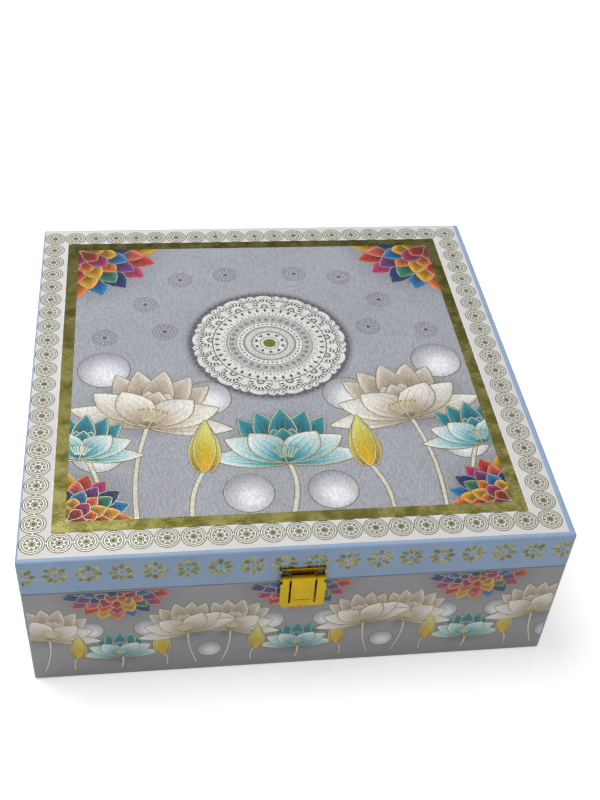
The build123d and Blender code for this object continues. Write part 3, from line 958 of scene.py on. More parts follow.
def put_mesh(
    name: str, points: np.ndarray, quads: np.ndarray, colours: np.ndarray | None = None
) -> Piece:
    """Put quads into Blender as a smooth mesh in metres.

    Args:
        name: Piece name.
        points: Places in millimetres.
        quads: Corners of each face.
        colours: Linear colour of each point, kept in the attribute named ink.

    Returns:
        The object, linked to the scene.
    """
    mesh = bpy.data.meshes.new(name)
    mesh.vertices.add(len(points))
    mesh.vertices.foreach_set("co", (points * MM).astype(np.float32).ravel())
    mesh.loops.add(quads.size)
    mesh.loops.foreach_set("vertex_index", quads.astype(np.int32).ravel())
    mesh.polygons.add(len(quads))
    mesh.polygons.foreach_set("loop_start", np.arange(0, quads.size, 4, dtype=np.int32))
    mesh.update(calc_edges=True)
    mesh.polygons.foreach_set("use_smooth", np.ones(len(quads), bool))
    if colours is not None:
        store = mesh.color_attributes.new("ink", "FLOAT_COLOR", "POINT")
        rgba = np.concatenate([colours, np.ones((len(colours), 1))], axis=1)
        store.data.foreach_set("color", rgba.astype(np.float32).ravel())
    piece = bpy.data.objects.new(name, mesh)
    bpy.context.scene.collection.objects.link(piece)
    return piece


def thicken(piece: Piece, thickness: float) -> None:
    """Close a sheet into a thin solid that reaches back from its outer face.

    Args:
        piece: The sheet.
        thickness: In millimetres.
    """
    solid = piece.modifiers.new("thickness", "SOLIDIFY")
    solid.thickness = thickness * MM
    solid.offset = -1
    solid.use_even_offset = True


def lay(
    name: str, faces: list[tuple[list[Patch], PrintPlane]], finish: Material, body: str
) -> Piece:
    """One piece from the patches of one or more faces.

    Args:
        name: Piece name.
        faces: Patches of each face and the plane that they lie on.
        finish: Material.
        body: CAD body that the piece rides on.

    Returns:
        The piece.
    """
    flats = [joined(patches) for patches, _ in faces]
    whole = joined(flats)
    points = np.concatenate([plane.lift(flat) for flat, (_, plane) in zip(flats, faces)])
    piece = put_mesh(name, points, whole.quads, whole.colours)
    piece.data.materials.append(finish)
    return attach(piece, body)


def rounded_run(
    start: tuple[float, float], centre: tuple[float, float], end: tuple[float, float], count: int = 5
) -> np.ndarray:
    """Quarter of a circle in a profile: the centre plus the cosine share of the first arm plus the
    sine share of the second.

    Args:
        start: Where it starts.
        centre: Its centre.
        end: Where it ends.
        count: Points on it.

    Returns:
        The points.
    """
    angle = np.linspace(0, math.pi / 2, count)[:, None]
    first, last = np.subtract(start, centre), np.subtract(end, centre)
    return np.array(centre) + np.cos(angle) * first + np.sin(angle) * last


def wrapped_skin(
    name: str, profile: np.ndarray, half: tuple[float, float], corner: float, tint: Tint
) -> Piece:
    """Paper skin round a square box: a profile of insets and heights carried round the outline.

    Each point lies at its corner's centre plus the corner radius left at its inset times the
    outward direction. A short straight run stands before and after each corner.

    Args:
        name: Piece name.
        profile: Inset and height of each row, from the underside up and over.
        half: Half of the outline's width and depth.
        corner: Corner radius of the outline.
        tint: Ink on all of it.

    Returns:
        The skin, its faces outwards.
    """
    straight = 0.9
    arc = np.linspace(-math.pi / 2, 0, 6)
    theta = np.concatenate([[arc[0]], arc, [arc[-1]]])
    shift = np.zeros(len(theta))
    shift[0], shift[-1] = -straight, straight
    theta = (theta[None] + np.arange(4)[:, None] * math.pi / 2).ravel()
    shift = np.tile(shift, 4)
    signs = np.repeat(np.array([[1, -1], [1, 1], [-1, 1], [-1, -1]]), len(arc) + 2, axis=0)
    inset = profile[:, :1]
    radius = np.maximum(corner - inset, 0.05)
    centre = signs[None] * (np.array(half) - inset - radius)[:, None]
    out = np.stack([np.cos(theta), np.sin(theta)], -1)[None]
    tangent = np.stack([-np.sin(theta), np.cos(theta)], -1)[None]
    flat = centre + radius[:, None] * out + shift[None, :, None] * tangent
    height = np.broadcast_to(profile[:, 1][:, None, None], (*flat.shape[:2], 1))
    points = np.concatenate([flat, height], axis=-1).reshape(-1, 3)
    quads = lattice(len(profile), len(theta), closed=True)
    return put_mesh(name, points, quads, plain(len(points), tint))


# Node helpers and shared effects


class Graph:
    """Adds nodes to one node tree."""

    def __init__(self, tree: bpy.types.NodeTree) -> None:
        """Keep the tree.

        Args:
            tree: A material's, a world's or a group's tree.
        """
        self.tree = tree

    def add(self, kind: str, inputs: dict | None = None, **settings: object) -> bpy.types.Node:
        """Add a node.

        Args:
            kind: Blender's node type.
            inputs: Socket name or number to a value or to the socket that feeds it.
            settings: The node's own properties.

        Returns:
            The node.
        """
        node = self.tree.nodes.new(kind)
        for key, value in settings.items():
            setattr(node, key, value)
        for key, value in (inputs or {}).items():
            if isinstance(value, Socket):
                self.feed(value, node.inputs[key])
            else:
                node.inputs[key].default_value = value
        return node

    def mixed(self, share: object, first: object, second: object, blend: str = "MIX") -> Socket:
        """Colour mix of two colours by a share."""
        inputs = {0: share, 6: first, 7: second}
        return self.add("ShaderNodeMix", inputs, data_type="RGBA", blend_type=blend).outputs[2]

    def maths(self, operation: str, first: object, second: object = 0.0) -> Socket:
        """Result of a Math node."""
        return self.add("ShaderNodeMath", {0: first, 1: second}, operation=operation).outputs[0]

    def ranged(self, value: object, low: float, high: float, to_low: float, to_high: float) -> Socket:
        """A value moved from one range to another, held at its ends."""
        inputs = {"Value": value, "From Min": low, "From Max": high, "To Min": to_low, "To Max": to_high}
        return self.add("ShaderNodeMapRange", inputs).outputs["Result"]

    def grey(self, value: Socket) -> Socket:
        """Colour with one value in all three channels."""
        return self.add("ShaderNodeCombineXYZ", {n: value for n in range(3)}).outputs[0]

    def noise(self, place: Socket, scale: object, detail: float) -> Socket:
        """Noise over a place, its scale per metre."""
        inputs = {"Vector": place, "Scale": scale, "Detail": detail}
        return self.add("ShaderNodeTexNoise", inputs).outputs[0]

    def feed(self, value: Socket, socket: Socket) -> None:
        """Link a value to a socket."""
        self.tree.links.new(value, socket)

    def shown(self) -> Socket:
        """Rays that look at a thing itself.

        Returns:
            1 for rays of the camera, of gloss and of glass, and 0 for all others.
        """
        path = self.add("ShaderNodeLightPath").outputs
        through = self.maths("MAXIMUM", path["Is Glossy Ray"], path["Is Transmission Ray"])
        return self.maths("MAXIMUM", path["Is Camera Ray"], through)

    def seen_as(self, hidden: Socket, seen: Socket) -> Socket:
        """Choose a shader by the kind of ray.

        Args:
            hidden: Shader for light on its way through the scene.
            seen: Shader for rays that look at the thing itself.

        Returns:
            The mixed shader.
        """
        return self.add("ShaderNodeMixShader", {0: self.shown(), 1: hidden, 2: seen}).outputs[0]

    def group(self, tree: bpy.types.NodeTree, **inputs: object) -> bpy.types.Node:
        """Add a shared effect.

        Args:
            tree: The effect.
            inputs: Input names with underscores, and their values.

        Returns:
            The group's node.
        """
        node = self.tree.nodes.new("ShaderNodeGroup")
        node.node_tree = tree
        for key, value in inputs.items():
            socket = node.inputs[key.replace("_", " ").capitalize()]
            if isinstance(value, Socket):
                self.feed(value, socket)
            else:
                socket.default_value = value
        return node


def new_effect(
    name: str, numbers: dict[str, float], outputs: tuple[str, ...]
) -> tuple[Graph, bpy.types.Node, bpy.types.Node]:
    """Start a node group of number sockets.

    Args:
        name: Group name.
        numbers: Input names and default values.
        outputs: Output names.

    Returns:
        Its graph, its input node and its output node.
    """
    tree = bpy.data.node_groups.new(name, "ShaderNodeTree")
    for key, value in numbers.items():
        socket = tree.interface.new_socket(key, in_out="INPUT", socket_type="NodeSocketFloat")
        socket.default_value = value
    for key in outputs:
        tree.interface.new_socket(key, in_out="OUTPUT", socket_type="NodeSocketFloat")
    graph = Graph(tree)
    return graph, graph.add("NodeGroupInput"), graph.add("NodeGroupOutput")


def leather_effect() -> bpy.types.NodeTree:
    """Embossed leatherette grain: cells of a given size, drawn out aslant and bent by slow noise,
    softened by fine noise, and a slow mottle.

    Returns:
        Group that takes a Size in metres and gives a Height and a Mottle.
    """
    graph, inner, outer = new_effect("leather_grain", {"Size": 0.001}, ("Height", "Mottle"))
    place = graph.add("ShaderNodeTexCoord").outputs["Object"]
    rate = graph.maths("DIVIDE", 1.0, inner.outputs["Size"])
    aslant = {"Vector": place, "Rotation": (0.0, 0.0, 0.8), "Scale": (1.0, 0.5, 1.0)}
    slant = graph.add("ShaderNodeMapping", aslant)
    sway = graph.add("ShaderNodeTexNoise", {"Vector": place, "Scale": 90.0, "Detail": 1.0})
    reach = {0: sway.outputs["Color"], "Scale": 0.006}
    push = graph.add("ShaderNodeVectorMath", reach, operation="SCALE")
    bent = graph.add("ShaderNodeVectorMath", {0: slant.outputs[0], 1: push.outputs[0]})
    around = {"Vector": bent.outputs[0], "Scale": rate}
    cells = graph.add("ShaderNodeTexVoronoi", around, feature="F1").outputs["Distance"]
    pits = graph.maths("MULTIPLY", graph.noise(place, rate, 2.0), 0.6)
    graph.feed(graph.maths("ADD", cells, pits), outer.inputs["Height"])
    graph.feed(graph.noise(place, 28.0, 3.0), outer.inputs["Mottle"])
    return graph.tree


def foil_effect() -> bpy.types.NodeTree:
    """Stamped foil: short streaks, fine grain, and worn patches.

    Returns:
        Group that takes the patches' rate per metre and gives a Height, Streaks and Wear.
    """
    graph, inner, outer = new_effect("foil_wear", {"Patch": 60.0}, ("Height", "Streaks", "Wear"))
    place = graph.add("ShaderNodeTexCoord").outputs["Object"]
    aslant = {"Vector": place, "Rotation": (0.0, 0.0, 0.6), "Scale": (1.0, 3.0, 1.0)}
    turned = graph.add("ShaderNodeMapping", aslant).outputs[0]
    streaks = graph.noise(turned, 420.0, 4.0)
    worn = graph.noise(place, inner.outputs["Patch"], 3.0)
    fine = graph.maths("ADD", streaks, graph.noise(place, 1500.0, 3.0))
    height = graph.maths("ADD", fine, graph.maths("MULTIPLY", worn, 8.0))
    graph.feed(height, outer.inputs["Height"])
    graph.feed(streaks, outer.inputs["Streaks"])
    graph.feed(graph.ranged(worn, 0.4, 0.62, 0.0, 1.0), outer.inputs["Wear"])
    return graph.tree


def fibre_effect() -> bpy.types.NodeTree:
    """Fibres of paper, board and cloth: fine noise, and a slow mottle.

    Returns:
        Group that takes a Size in metres and gives a Height and a Mottle.
    """
    graph, inner, outer = new_effect("paper_fibre", {"Size": 0.0004}, ("Height", "Mottle"))
    place = graph.add("ShaderNodeTexCoord").outputs["Object"]
    rate = graph.maths("DIVIDE", 1.0, inner.outputs["Size"])
    graph.feed(graph.noise(place, rate, 3.0), outer.inputs["Height"])
    graph.feed(graph.noise(place, 60.0, 4.0), outer.inputs["Mottle"])
    return graph.tree


class Effects:
    """The shared effects, made once."""

    def __init__(self) -> None:
        """Build each group."""
        self.leather = leather_effect()
        self.foil = foil_effect()
        self.fibre = fibre_effect()


# Finishes


def new_material(name: str, **sockets: object) -> tuple[Material, Graph, bpy.types.Node]:
    """Start a material.

    Args:
        name: Material name.
        sockets: Values of the shader's own sockets, by name with underscores.

    Returns:
        The material, its graph and its shader node.
    """
    material = bpy.data.materials.new(name)
    material.use_nodes = True
    graph = Graph(material.node_tree)
    shader = material.node_tree.nodes["Principled BSDF"]
    for key, value in sockets.items():
        shader.inputs[key.replace("_", " ")].default_value = value
    return material, graph, shader


def bumped(
    graph: Graph, shader: bpy.types.Node, height: Socket, strength: float, depth: float
) -> None:
    """Feed a height into a shader's normal.

    Args:
        graph: Adds the nodes.
        shader: The material's shader.
        height: The height.
        strength: Of the relief.
        depth: Of the relief, in millimetres.
    """
    inputs = {"Strength": strength, "Distance": depth * MM, "Height": height}
    bump = graph.add("ShaderNodeBump", inputs)
    graph.feed(bump.outputs["Normal"], shader.inputs["Normal"])


@dataclass(frozen=True)
class PrintedPaper:
    """Coated paper that shows the inks stored on its points, embossed with leatherette grain.

    Args:
        name: Material name.
        roughness: Of the coating.
        grain: Size of the emboss in millimetres.
        depth: Depth of the emboss in millimetres.
        contrast: How far the grain lightens and darkens the inks.
    """

    name: str
    roughness: float = 0.45
    grain: float = 1.2
    depth: float = 0.32
    contrast: float = 1.0

    def material(self, effects: Effects) -> Material:
        """Build the material.

        Args:
            effects: Shared effects.

        Returns:
            The material.
        """
        made, graph, shader = new_material(self.name, Roughness=self.roughness, IOR=1.45)
        leather = graph.group(effects.leather, size=self.grain * MM)
        ink = graph.add("ShaderNodeAttribute", attribute_name="ink").outputs["Color"]
        light = graph.ranged(leather.outputs["Mottle"], 0.3, 0.7, 0.95, 1.04)
        pale, dark = 1 + 0.1 * self.contrast, 1 - 0.16 * self.contrast
        pits = graph.ranged(leather.outputs["Height"], 0.4, 1.1, pale, dark)
        tone = graph.grey(graph.maths("MULTIPLY", light, pits))
        colour = graph.mixed(1.0, ink, tone, "MULTIPLY")
        graph.feed(colour, shader.inputs["Base Color"])
        bumped(graph, shader, leather.outputs["Height"], 0.9, self.depth)
        return made


@dataclass(frozen=True)
class SmoothPaper:
    """Plain paper or board of one colour with fibres.

    Args:
        name: Material name.
        tint: Colour.
        roughness: Of the surface.
        fibre: Size of the fibres in millimetres.
        contrast: How far the mottle lightens and darkens.
    """

    name: str
    tint: Tint
    roughness: float = 0.6
    fibre: float = 0.5
    contrast: float = 0.05

    def material(self, effects: Effects) -> Material:
        """Build the material.

        Args:
            effects: Shared effects.

        Returns:
            The material.
        """
        made, graph, shader = new_material(self.name, Roughness=self.roughness, IOR=1.45)
        fibres = graph.group(effects.fibre, size=self.fibre * MM)
        tone = graph.ranged(fibres.outputs["Mottle"], 0.3, 0.7, 1 - self.contrast, 1 + self.contrast)
        colour = graph.mixed(1.0, self.tint.rgba, graph.grey(tone), "MULTIPLY")
        graph.feed(colour, shader.inputs["Base Color"])
        bumped(graph, shader, fibres.outputs["Height"], 0.35, 0.04)
        return made


@dataclass(frozen=True)
class StampedFoil:
    """Olive-gold hot-stamped foil, brushed and a little worn.

    Args:
        name: Material name.
        bright: Colour where it is clean.
        dull: Colour where it is worn.
        patch: Rate of the worn patches, per metre.
        smooth: Lowest roughness.
        rough: Highest roughness.
        flecks: How far the fine flecks reach the worn colour.
        relief: Strength of the grain's relief.
        metallic: Share of the metal's own shine, the rest being the paper's.
    """

    name: str
    bright: tuple[float, float, float]
    dull: tuple[float, float, float]
    patch: float = 22.0
    smooth: float = 0.18
    rough: float = 0.42
    flecks: float = 0.7
    relief: float = 0.5
    metallic: float = 1.0

    def material(self, effects: Effects) -> Material:
        """Build the material.

        Args:
            effects: Shared effects.

        Returns:
            The material.
        """
        made, graph, shader = new_material(self.name, Metallic=self.metallic)
        foil = graph.group(effects.foil, patch=self.patch)
        worn = graph.mixed(foil.outputs["Wear"], (*self.bright, 1.0), (*self.dull, 1.0))
        flecks = graph.ranged(foil.outputs["Streaks"], 0.45, 0.62, 0.0, self.flecks)
        colour = graph.mixed(flecks, worn, (*self.dull, 1.0))
        graph.feed(colour, shader.inputs["Base Color"])
        rough = graph.ranged(foil.outputs["Streaks"], 0.3, 0.7, self.smooth, self.rough)
        graph.feed(rough, shader.inputs["Roughness"])
        bumped(graph, shader, foil.outputs["Height"], self.relief, 0.03)
        return made


@dataclass(frozen=True)
class SheetMetal:
    """Lacquered or plated metal with rounded, faintly worn edges.

    Args:
        name: Material name.
        colour: Reflected colour.
        roughness: Of the clean metal.
        edge: Radius of the softened edges in millimetres.
        spread: How much rougher it is where it is streaked.
        dulling: Colour where it is worn, as a share of the clean one.
        patch: Rate of the worn patches, per metre.
    """

    name: str
    colour: tuple[float, float, float]
    roughness: float = 0.2
    edge: float = 0.12
    spread: float = 0.12
    dulling: float = 0.88
    patch: float = 150.0

    def material(self, effects: Effects) -> Material:
        """Build the material.

        Args:
            effects: Shared effects.

        Returns:
            The material.
        """
        made, graph, shader = new_material(self.name, Metallic=1.0)
        foil = graph.group(effects.foil, patch=self.patch)
        dull = tuple(self.dulling * channel for channel in self.colour)
        colour = graph.mixed(foil.outputs["Wear"], (*self.colour, 1.0), (*dull, 1.0))
        graph.feed(colour, shader.inputs["Base Color"])
        roughest = self.roughness + self.spread
        rough = graph.ranged(foil.outputs["Streaks"], 0.3, 0.7, self.roughness, roughest)
        graph.feed(rough, shader.inputs["Roughness"])
        soft = graph.add("ShaderNodeBevel", {"Radius": self.edge * MM}, samples=4)
        fibres = graph.group(effects.fibre, size=0.4 * MM)
        inputs = {"Strength": 0.05, "Distance": 0.01 * MM, "Height": fibres.outputs["Height"]}
        bump = graph.add("ShaderNodeBump", {**inputs, "Normal": soft.outputs[0]})
        graph.feed(bump.outputs["Normal"], shader.inputs["Normal"])
        return made


@dataclass(frozen=True)
class ClearGlass:
    """Clear jar glass, a little milky.

    Args:
        name: Material name.
        tint: Colour that it gives to light.
        roughness: Of its surface.
        ior: How far it bends light.
        transmission: Share of light that it lets through.
    """

    name: str = "jar_glass"
    tint: tuple[float, float, float] = (0.95, 0.985, 0.975)
    roughness: float = 0.02
    ior: float = 1.5
    transmission: float = 0.93

    def material(self, effects: Effects) -> Material:
        """Build the material.

        Args:
            effects: Shared effects, not used here.

        Returns:
            The material.
        """
        made, _, _ = new_material(
            self.name,
            Base_Color=(*self.tint, 1.0),
            Roughness=self.roughness,
            IOR=self.ior,
            Transmission_Weight=self.transmission,
        )
        return made


@dataclass(frozen=True)
class Velvet:
    """Short flocked cloth on the tray, with painted shade of its pile laid in slow random patches.

    Args:
        name: Material name.
        tint: Colour of the tips.
        shaded: Painted shade of the pile: its darkest colour, as a share of the tips'.
        sheen: Weight of the soft glow at its edges.
        fibre: Size of the fibres in millimetres.
    """

    name: str = "tray_velvet"
    tint: Tint = Tint.TRAY_BLUE
    shaded: float = 0.8
    sheen: float = 0.6
    fibre: float = 0.25

    def material(self, effects: Effects) -> Material:
        """Build the material.

        Args:
            effects: Shared effects.

        Returns:
            The material.
        """
        made, graph, shader = new_material(self.name, Roughness=0.9, Sheen_Weight=self.sheen)
        fibres = graph.group(effects.fibre, size=self.fibre * MM)
        # Painted shade of the pile: slow random patches darken towards this share of the tips' colour.
        shaded = (*(self.shaded * self.tint.linear), 1.0)
        colour = graph.mixed(fibres.outputs["Mottle"], shaded, self.tint.rgba)
        graph.feed(colour, shader.inputs["Base Color"])
        bumped(graph, shader, fibres.outputs["Height"], 0.6, 0.1)
        return made


@dataclass
class Finishes:
    """Every material of the box, made from its finish.

    Args:
        effects: Shared effects.
    """

    effects: Effects = field(default_factory=Effects)

    def __post_init__(self) -> None:
        """Build the materials."""
        made = self.effects
        self.print = PrintedPaper("printed_paper").material(made)
        self.blue = SmoothPaper("blue_paper", Tint.PAPER_BLUE, 0.5, 0.6).material(made)
        self.border = PrintedPaper("border_paper", 0.42, 0.8, 0.03, 0.15).material(made)
        self.side_print = PrintedPaper("side_print", 0.38, 0.7, 0.02, 0.3).material(made)
        self.lining = SmoothPaper("lining_paper", Tint.LINING_WHITE, 0.7).material(made)
        self.board = SmoothPaper("grey_board", Tint.BOARD_GREY, 0.85, 0.3, 0.12).material(made)
        self.seal = SmoothPaper("cap_seal", Tint.SEAL_CREAM, 0.45, 1.0, 0.02).material(made)
        self.foil = StampedFoil(
            "frame_foil", (0.62, 0.56, 0.19), (0.27, 0.25, 0.06), patch=130.0, smooth=0.12, rough=0.3
        ).material(made)
        self.fine_foil = StampedFoil(
            "line_foil", (0.92, 0.90, 0.66), (0.66, 0.62, 0.34), flecks=0.12, relief=0.05, metallic=0.7
        ).material(made)
        self.side_line = StampedFoil(
            "side_line_foil", (0.50, 0.48, 0.28), (0.34, 0.31, 0.14), flecks=0.2, relief=0.05, metallic=0.7
        ).material(made)
        self.side_foil = StampedFoil(
            "flower_foil", (0.30, 0.27, 0.10), (0.10, 0.105, 0.05), patch=300.0, rough=0.5
        ).material(made)
        self.latch = SheetMetal("latch_metal", (0.42, 0.28, 0.008), 0.14, 0.3).material(made)
        self.hinge = SheetMetal("hinge_metal", (0.50, 0.40, 0.12), 0.22).material(made)
        self.cap = SheetMetal("cap_lacquer", (0.78, 0.62, 0.27), 0.2, 0.3).material(made)
        self.glass = ClearGlass().material(made)
        self.velvet = Velvet().material(made)


def dress(names: list[str], finish: Material) -> None:
    """Give CAD nodes a finish on their objects' own slots.

    Args:
        names: The nodes.
        finish: Their material.
    """
    for name in names:
        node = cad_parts[name]
        if not node.material_slots:
            node.data.materials.append(finish)
        for slot in node.material_slots:
            slot.link = "OBJECT"
            slot.material = finish
        LOG.info("dressed %s in %s", name, finish.name)


# Sub-assemblies


def along_side(side: Side, half: tuple[float, float], inset: float, height: float) -> PrintPlane:
    """Print plane on an upright face, its origin at the face's middle and at a height.

    Args:
        side: Which face.
        half: Half of the box's width and depth.
        inset: How far the paper lies inside the box's outline.
        height: Height of the origin.

    Returns:
        The plane.
    """
    along, out = side.value
    place = [out[0] * (half[0] - inset), out[1] * (half[1] - inset), height]
    return PrintPlane(tuple(place), along, (0, 0, 1), out)


@dataclass
class LidTop:
    """Printed sheet on the lid: coin border, foil frame and framed artwork, in millimetres.

    Args:
        finishes: Materials.
        coins: Coins along each side of the border.
        coin_radius: Radius of a coin.
        coin_margins: From the sheet's left, right, front and back edges to the coins' centres.
        frame_low: Lower left outer corner of the foil frame.
        frame_high: Upper right outer corner of the foil frame.
        frame_width: Width of the foil frame.
        sheet: Thickness of the paper.
        skew: How far the sheet was pasted beyond its CAD place on the right.
        medallion_rise: From the framed print's middle up to the medallion's.
        rosette_radius: Radius of a line rosette.
        rosette_places: Rosettes of the right half, from the print's middle.
        back_fan: Reach of the fans in the back corners.
        front_fan: Reach of the fans in the front corners.
        body: CAD body that it rides on.
    """

    finishes: Finishes
    coins: int = 21
    coin_radius: float = 5.7
    coin_margins: tuple[float, float, float, float] = (5.8, 6.9, 8.3, 8.2)
    frame_low: tuple[float, float] = (-112.1, -110.6)
    frame_high: tuple[float, float] = (107.8, 111.4)
    frame_width: float = 6.1
    sheet: float = 0.08
    skew: float = 1.6
    medallion_rise: float = 16.0
    rosette_radius: float = 6.6
    rosette_places: tuple[tuple[float, float], ...] = (
        (46, 74),
        (66, 52),
        (56, 28),
        (88, 24),
        (20, 78),
    )
    back_fan: float = 46.0
    front_fan: float = 30.0
    body: str = "lid"

    def __post_init__(self) -> None:
        """Read the sheet's place from the frame."""
        low, high = node_box("lid_top_print")
        self.low, self.high = (low[0], low[1]), (high[0] + self.skew, high[1])
        height = low[2] + self.sheet + TOP_GAP
        self.plane = PrintPlane((0, 0, height), (1, 0, 0), (0, 1, 0), (0, 0, 1))
        self.art_low = tuple(np.array(self.frame_low) + self.frame_width)
        self.art_high = tuple(np.array(self.frame_high) - self.frame_width)

    def border(self) -> Artwork:
        """Lay coins on the outer places of a square grid, and a dot between each two.

        Returns:
            The coins and dots.
        """
        left, right, front, back = self.coin_margins
        x = np.linspace(self.low[0] + left, self.high[0] - right, self.coins)
        y = np.linspace(self.low[1] + front, self.high[1] - back, self.coins)
        across, up = np.meshgrid(x, y)
        edge = np.zeros(across.shape, bool)
        edge[[0, -1]] = True
        edge[:, [0, -1]] = True
        places = np.stack([across[edge], up[edge]], -1)
        coin = foil_coin(self.coin_radius)
        art = Artwork()
        for patch in coin.inks:
            art.ink(patch.repeated(places), 1)
        for patch in coin.foils:
            art.gild(patch.repeated(places), 2)
        between_x = np.stack([(x[1:] + x[:-1]) / 2, np.full(self.coins - 1, y[0])], -1)
        between_y = np.stack([np.full(self.coins - 1, x[0]), (y[1:] + y[:-1]) / 2], -1)
        shift_x, shift_y = np.array([0, y[-1] - y[0]]), np.array([x[-1] - x[0], 0])
        dots = np.concatenate([between_x, between_x + shift_x, between_y, between_y + shift_y])
        dot = disc(0.45, even(Tint.YELLOW), cells=2)
        art.gild(dot.repeated(dots), 2.4)
        return art

    def foil_frame(self) -> Artwork:
        """Lay the foil frame and the fine pale line round it.

        Returns:
            The frame and its line.
        """
        art = Artwork()
        low, high = np.array(self.frame_low), np.array(self.frame_high)
        line = 0.7
        art.ink(self.square_band(low - line, high + line, line, Tint.LINE_WHITE), 1)
        art.gild(self.square_band(low, high, self.frame_width, Tint.YELLOW), FRAME_LEVEL)
        return art

    @staticmethod
    def square_band(low: np.ndarray, high: np.ndarray, width: float, tint: Tint) -> Patch:
        """Mitred band between a rectangle and the same rectangle drawn in by the width.

        Args:
            low: The rectangle's lower left corner.
            high: The rectangle's upper right corner.
            width: Of the band.
            tint: Colour.

        Returns:
            The band.
        """
        signs = np.array([[0, 0], [0, 1], [1, 1], [1, 0]])
        outer = low + signs * (high - low)
        inner = low + width + signs * (high - low - 2 * width)
        return band(inner, outer, tint)

    def artwork(self) -> Artwork:
        """Draw the framed print: a lace medallion, rainbow fans in the corners, water lilies,
        tulips and pearls on a lavender ground, the same on both sides of the middle.

        Returns:
            The print, cut off at the frame.
        """
        art = Artwork()
        low, high = np.array(self.art_low), np.array(self.art_high)
        middle, half = (low + high) / 2, (high - low) / 2
        ground = Tint.GROUND_LAVENDER
        art.ink(rectangle(tuple(low), tuple(high), ground), 0.5)
        art.stamp(Mandala().draw(), middle[0], middle[1] + self.medallion_rise, level=2)
        rosette = line_rosette(self.rosette_radius, Tint.INK_GREY)
        for x, y in self.rosette_places:
            for mirror, sign in ((False, 1), (True, -1)):
                art.stamp(rosette, middle[0] + sign * x, middle[1] + y, mirror=mirror, level=2)
        fan = rainbow_fan(self.back_fan, TURN / 4, 0.3)
        small_fan = rainbow_fan(self.front_fan, TURN / 4, 0.26)
        for sign, mirror in ((-1, False), (1, True)):
            x = middle[0] + sign * half[0]
            art.ink(soft_shadow(110, 110, ground).placed(x, high[1]), 1)
            art.stamp(fan, x, high[1], sign * math.pi / 2, mirror=mirror, level=6)
            art.ink(soft_shadow(76, 76, ground).placed(x, low[1]), 1)
            art.stamp(small_fan, x, low[1], mirror=mirror, level=6)
        for sign in (-1, 1):
            self.flower_group(art, middle, sign)
        self.centre_group(art, middle)
        return art.within(self.art_low, self.art_high)

    @property
    def foot(self) -> float:
        """Height of the framed print's lower edge over its middle, so below nought."""
        return -(self.art_high[1] - self.art_low[1]) / 2

    def flower_group(self, art: Artwork, middle: np.ndarray, sign: int) -> None:
        """Flowers of one half: an ivory lily, a teal lily at the frame, a tulip and their pearls.

        Args:
            art: Artwork to add to.
            middle: Centre of the framed print.
            sign: 1 for the right half and -1 for the left, whose motifs are mirrored.
        """
        foot, mirror = self.foot, sign < 0
        shadow = soft_shadow(66, 52, Tint.GROUND_LAVENDER)
        art.ink(shadow.placed(middle[0] + sign * 66, middle[1] - 30), 1.2)
        pearls = ((88, -2, 13.5), (36, -26, 12.5), (90, -62, 13))
        for x, y, radius in pearls:
            art.stamp(pearl(radius, 0.3), middle[0] + sign * x, middle[1] + y, level=3)
        stems = (((66, -44), (72, foot), 3), ((97, -62), (88, foot), -3), ((40, -76), (47, foot), 2))
        for start, end, sag in stems:
            top = (middle[0] + sign * start[0], middle[1] + start[1])
            low = (middle[0] + sign * end[0], middle[1] + end[1])
            art.stamp(stem(top, low, sign * sag, 2.0), level=5)
        place = middle + (sign * 66, -46)
        art.stamp(water_lily(IVORY_FLOWER, 0.012), *place, sign * 0.22, 44, mirror, level=8)
        place = middle + (sign * 99, -66)
        art.stamp(water_lily(TEAL_FLOWER, 0.014), *place, sign * 0.1, 32, mirror, level=22)
        place = middle + (sign * 40, -78)
        art.stamp(tulip(0.014), *place, sign * 0.05, 36, mirror, level=38)

    def centre_group(self, art: Artwork, middle: np.ndarray) -> None:
        """The teal lily between the halves, over two pearls.

        Args:
            art: Artwork to add to.
            middle: Centre of the framed print.
        """
        x, y = middle
        art.ink(soft_shadow(60, 44, Tint.GROUND_LAVENDER).placed(x, y - 58), 1.2)
        for sign in (-1, 1):
            art.stamp(pearl(12.0, 0.3), x + sign * 20, y - 92, level=3)
        art.stamp(stem((x, y - 70), (x, y + self.foot), 3.0, 2.2), level=6)
        art.stamp(water_lily(TEAL_FLOWER, 0.012), x, y - 74, 0.0, 40, level=24)

    def build(self) -> None:
        """Make the sheet, its inks and its foils."""
        whole = Artwork()
        for part in (self.border(), self.foil_frame(), self.artwork()):
            whole.inks += part.inks
            whole.foils += part.foils
        ivory = rectangle(self.low, self.high, Tint.BORDER_IVORY)
        sheet = lay("top_sheet", [([ivory.raised(-1)], self.plane)], self.finishes.border, self.body)
        sheet.data.shade_flat()
        thicken(sheet, self.sheet)
        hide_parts("lid_top_print")
        inks = lay("top_inks", [(whole.inks, self.plane)], self.finishes.print, self.body)
        frame_foil = [patch for patch in whole.foils if patch.levels.min() >= FRAME_LEVEL]
        fine_foil = [patch for patch in whole.foils if patch.levels.min() < FRAME_LEVEL]
        lay("top_frame_foil", [(frame_foil, self.plane)], self.finishes.foil, self.body)
        lay("top_line_foil", [(fine_foil, self.plane)], self.finishes.fine_foil, self.body)
        LOG.info("top sheet: %d patches of ink, %d of foil", len(whole.inks), len(whole.foils))


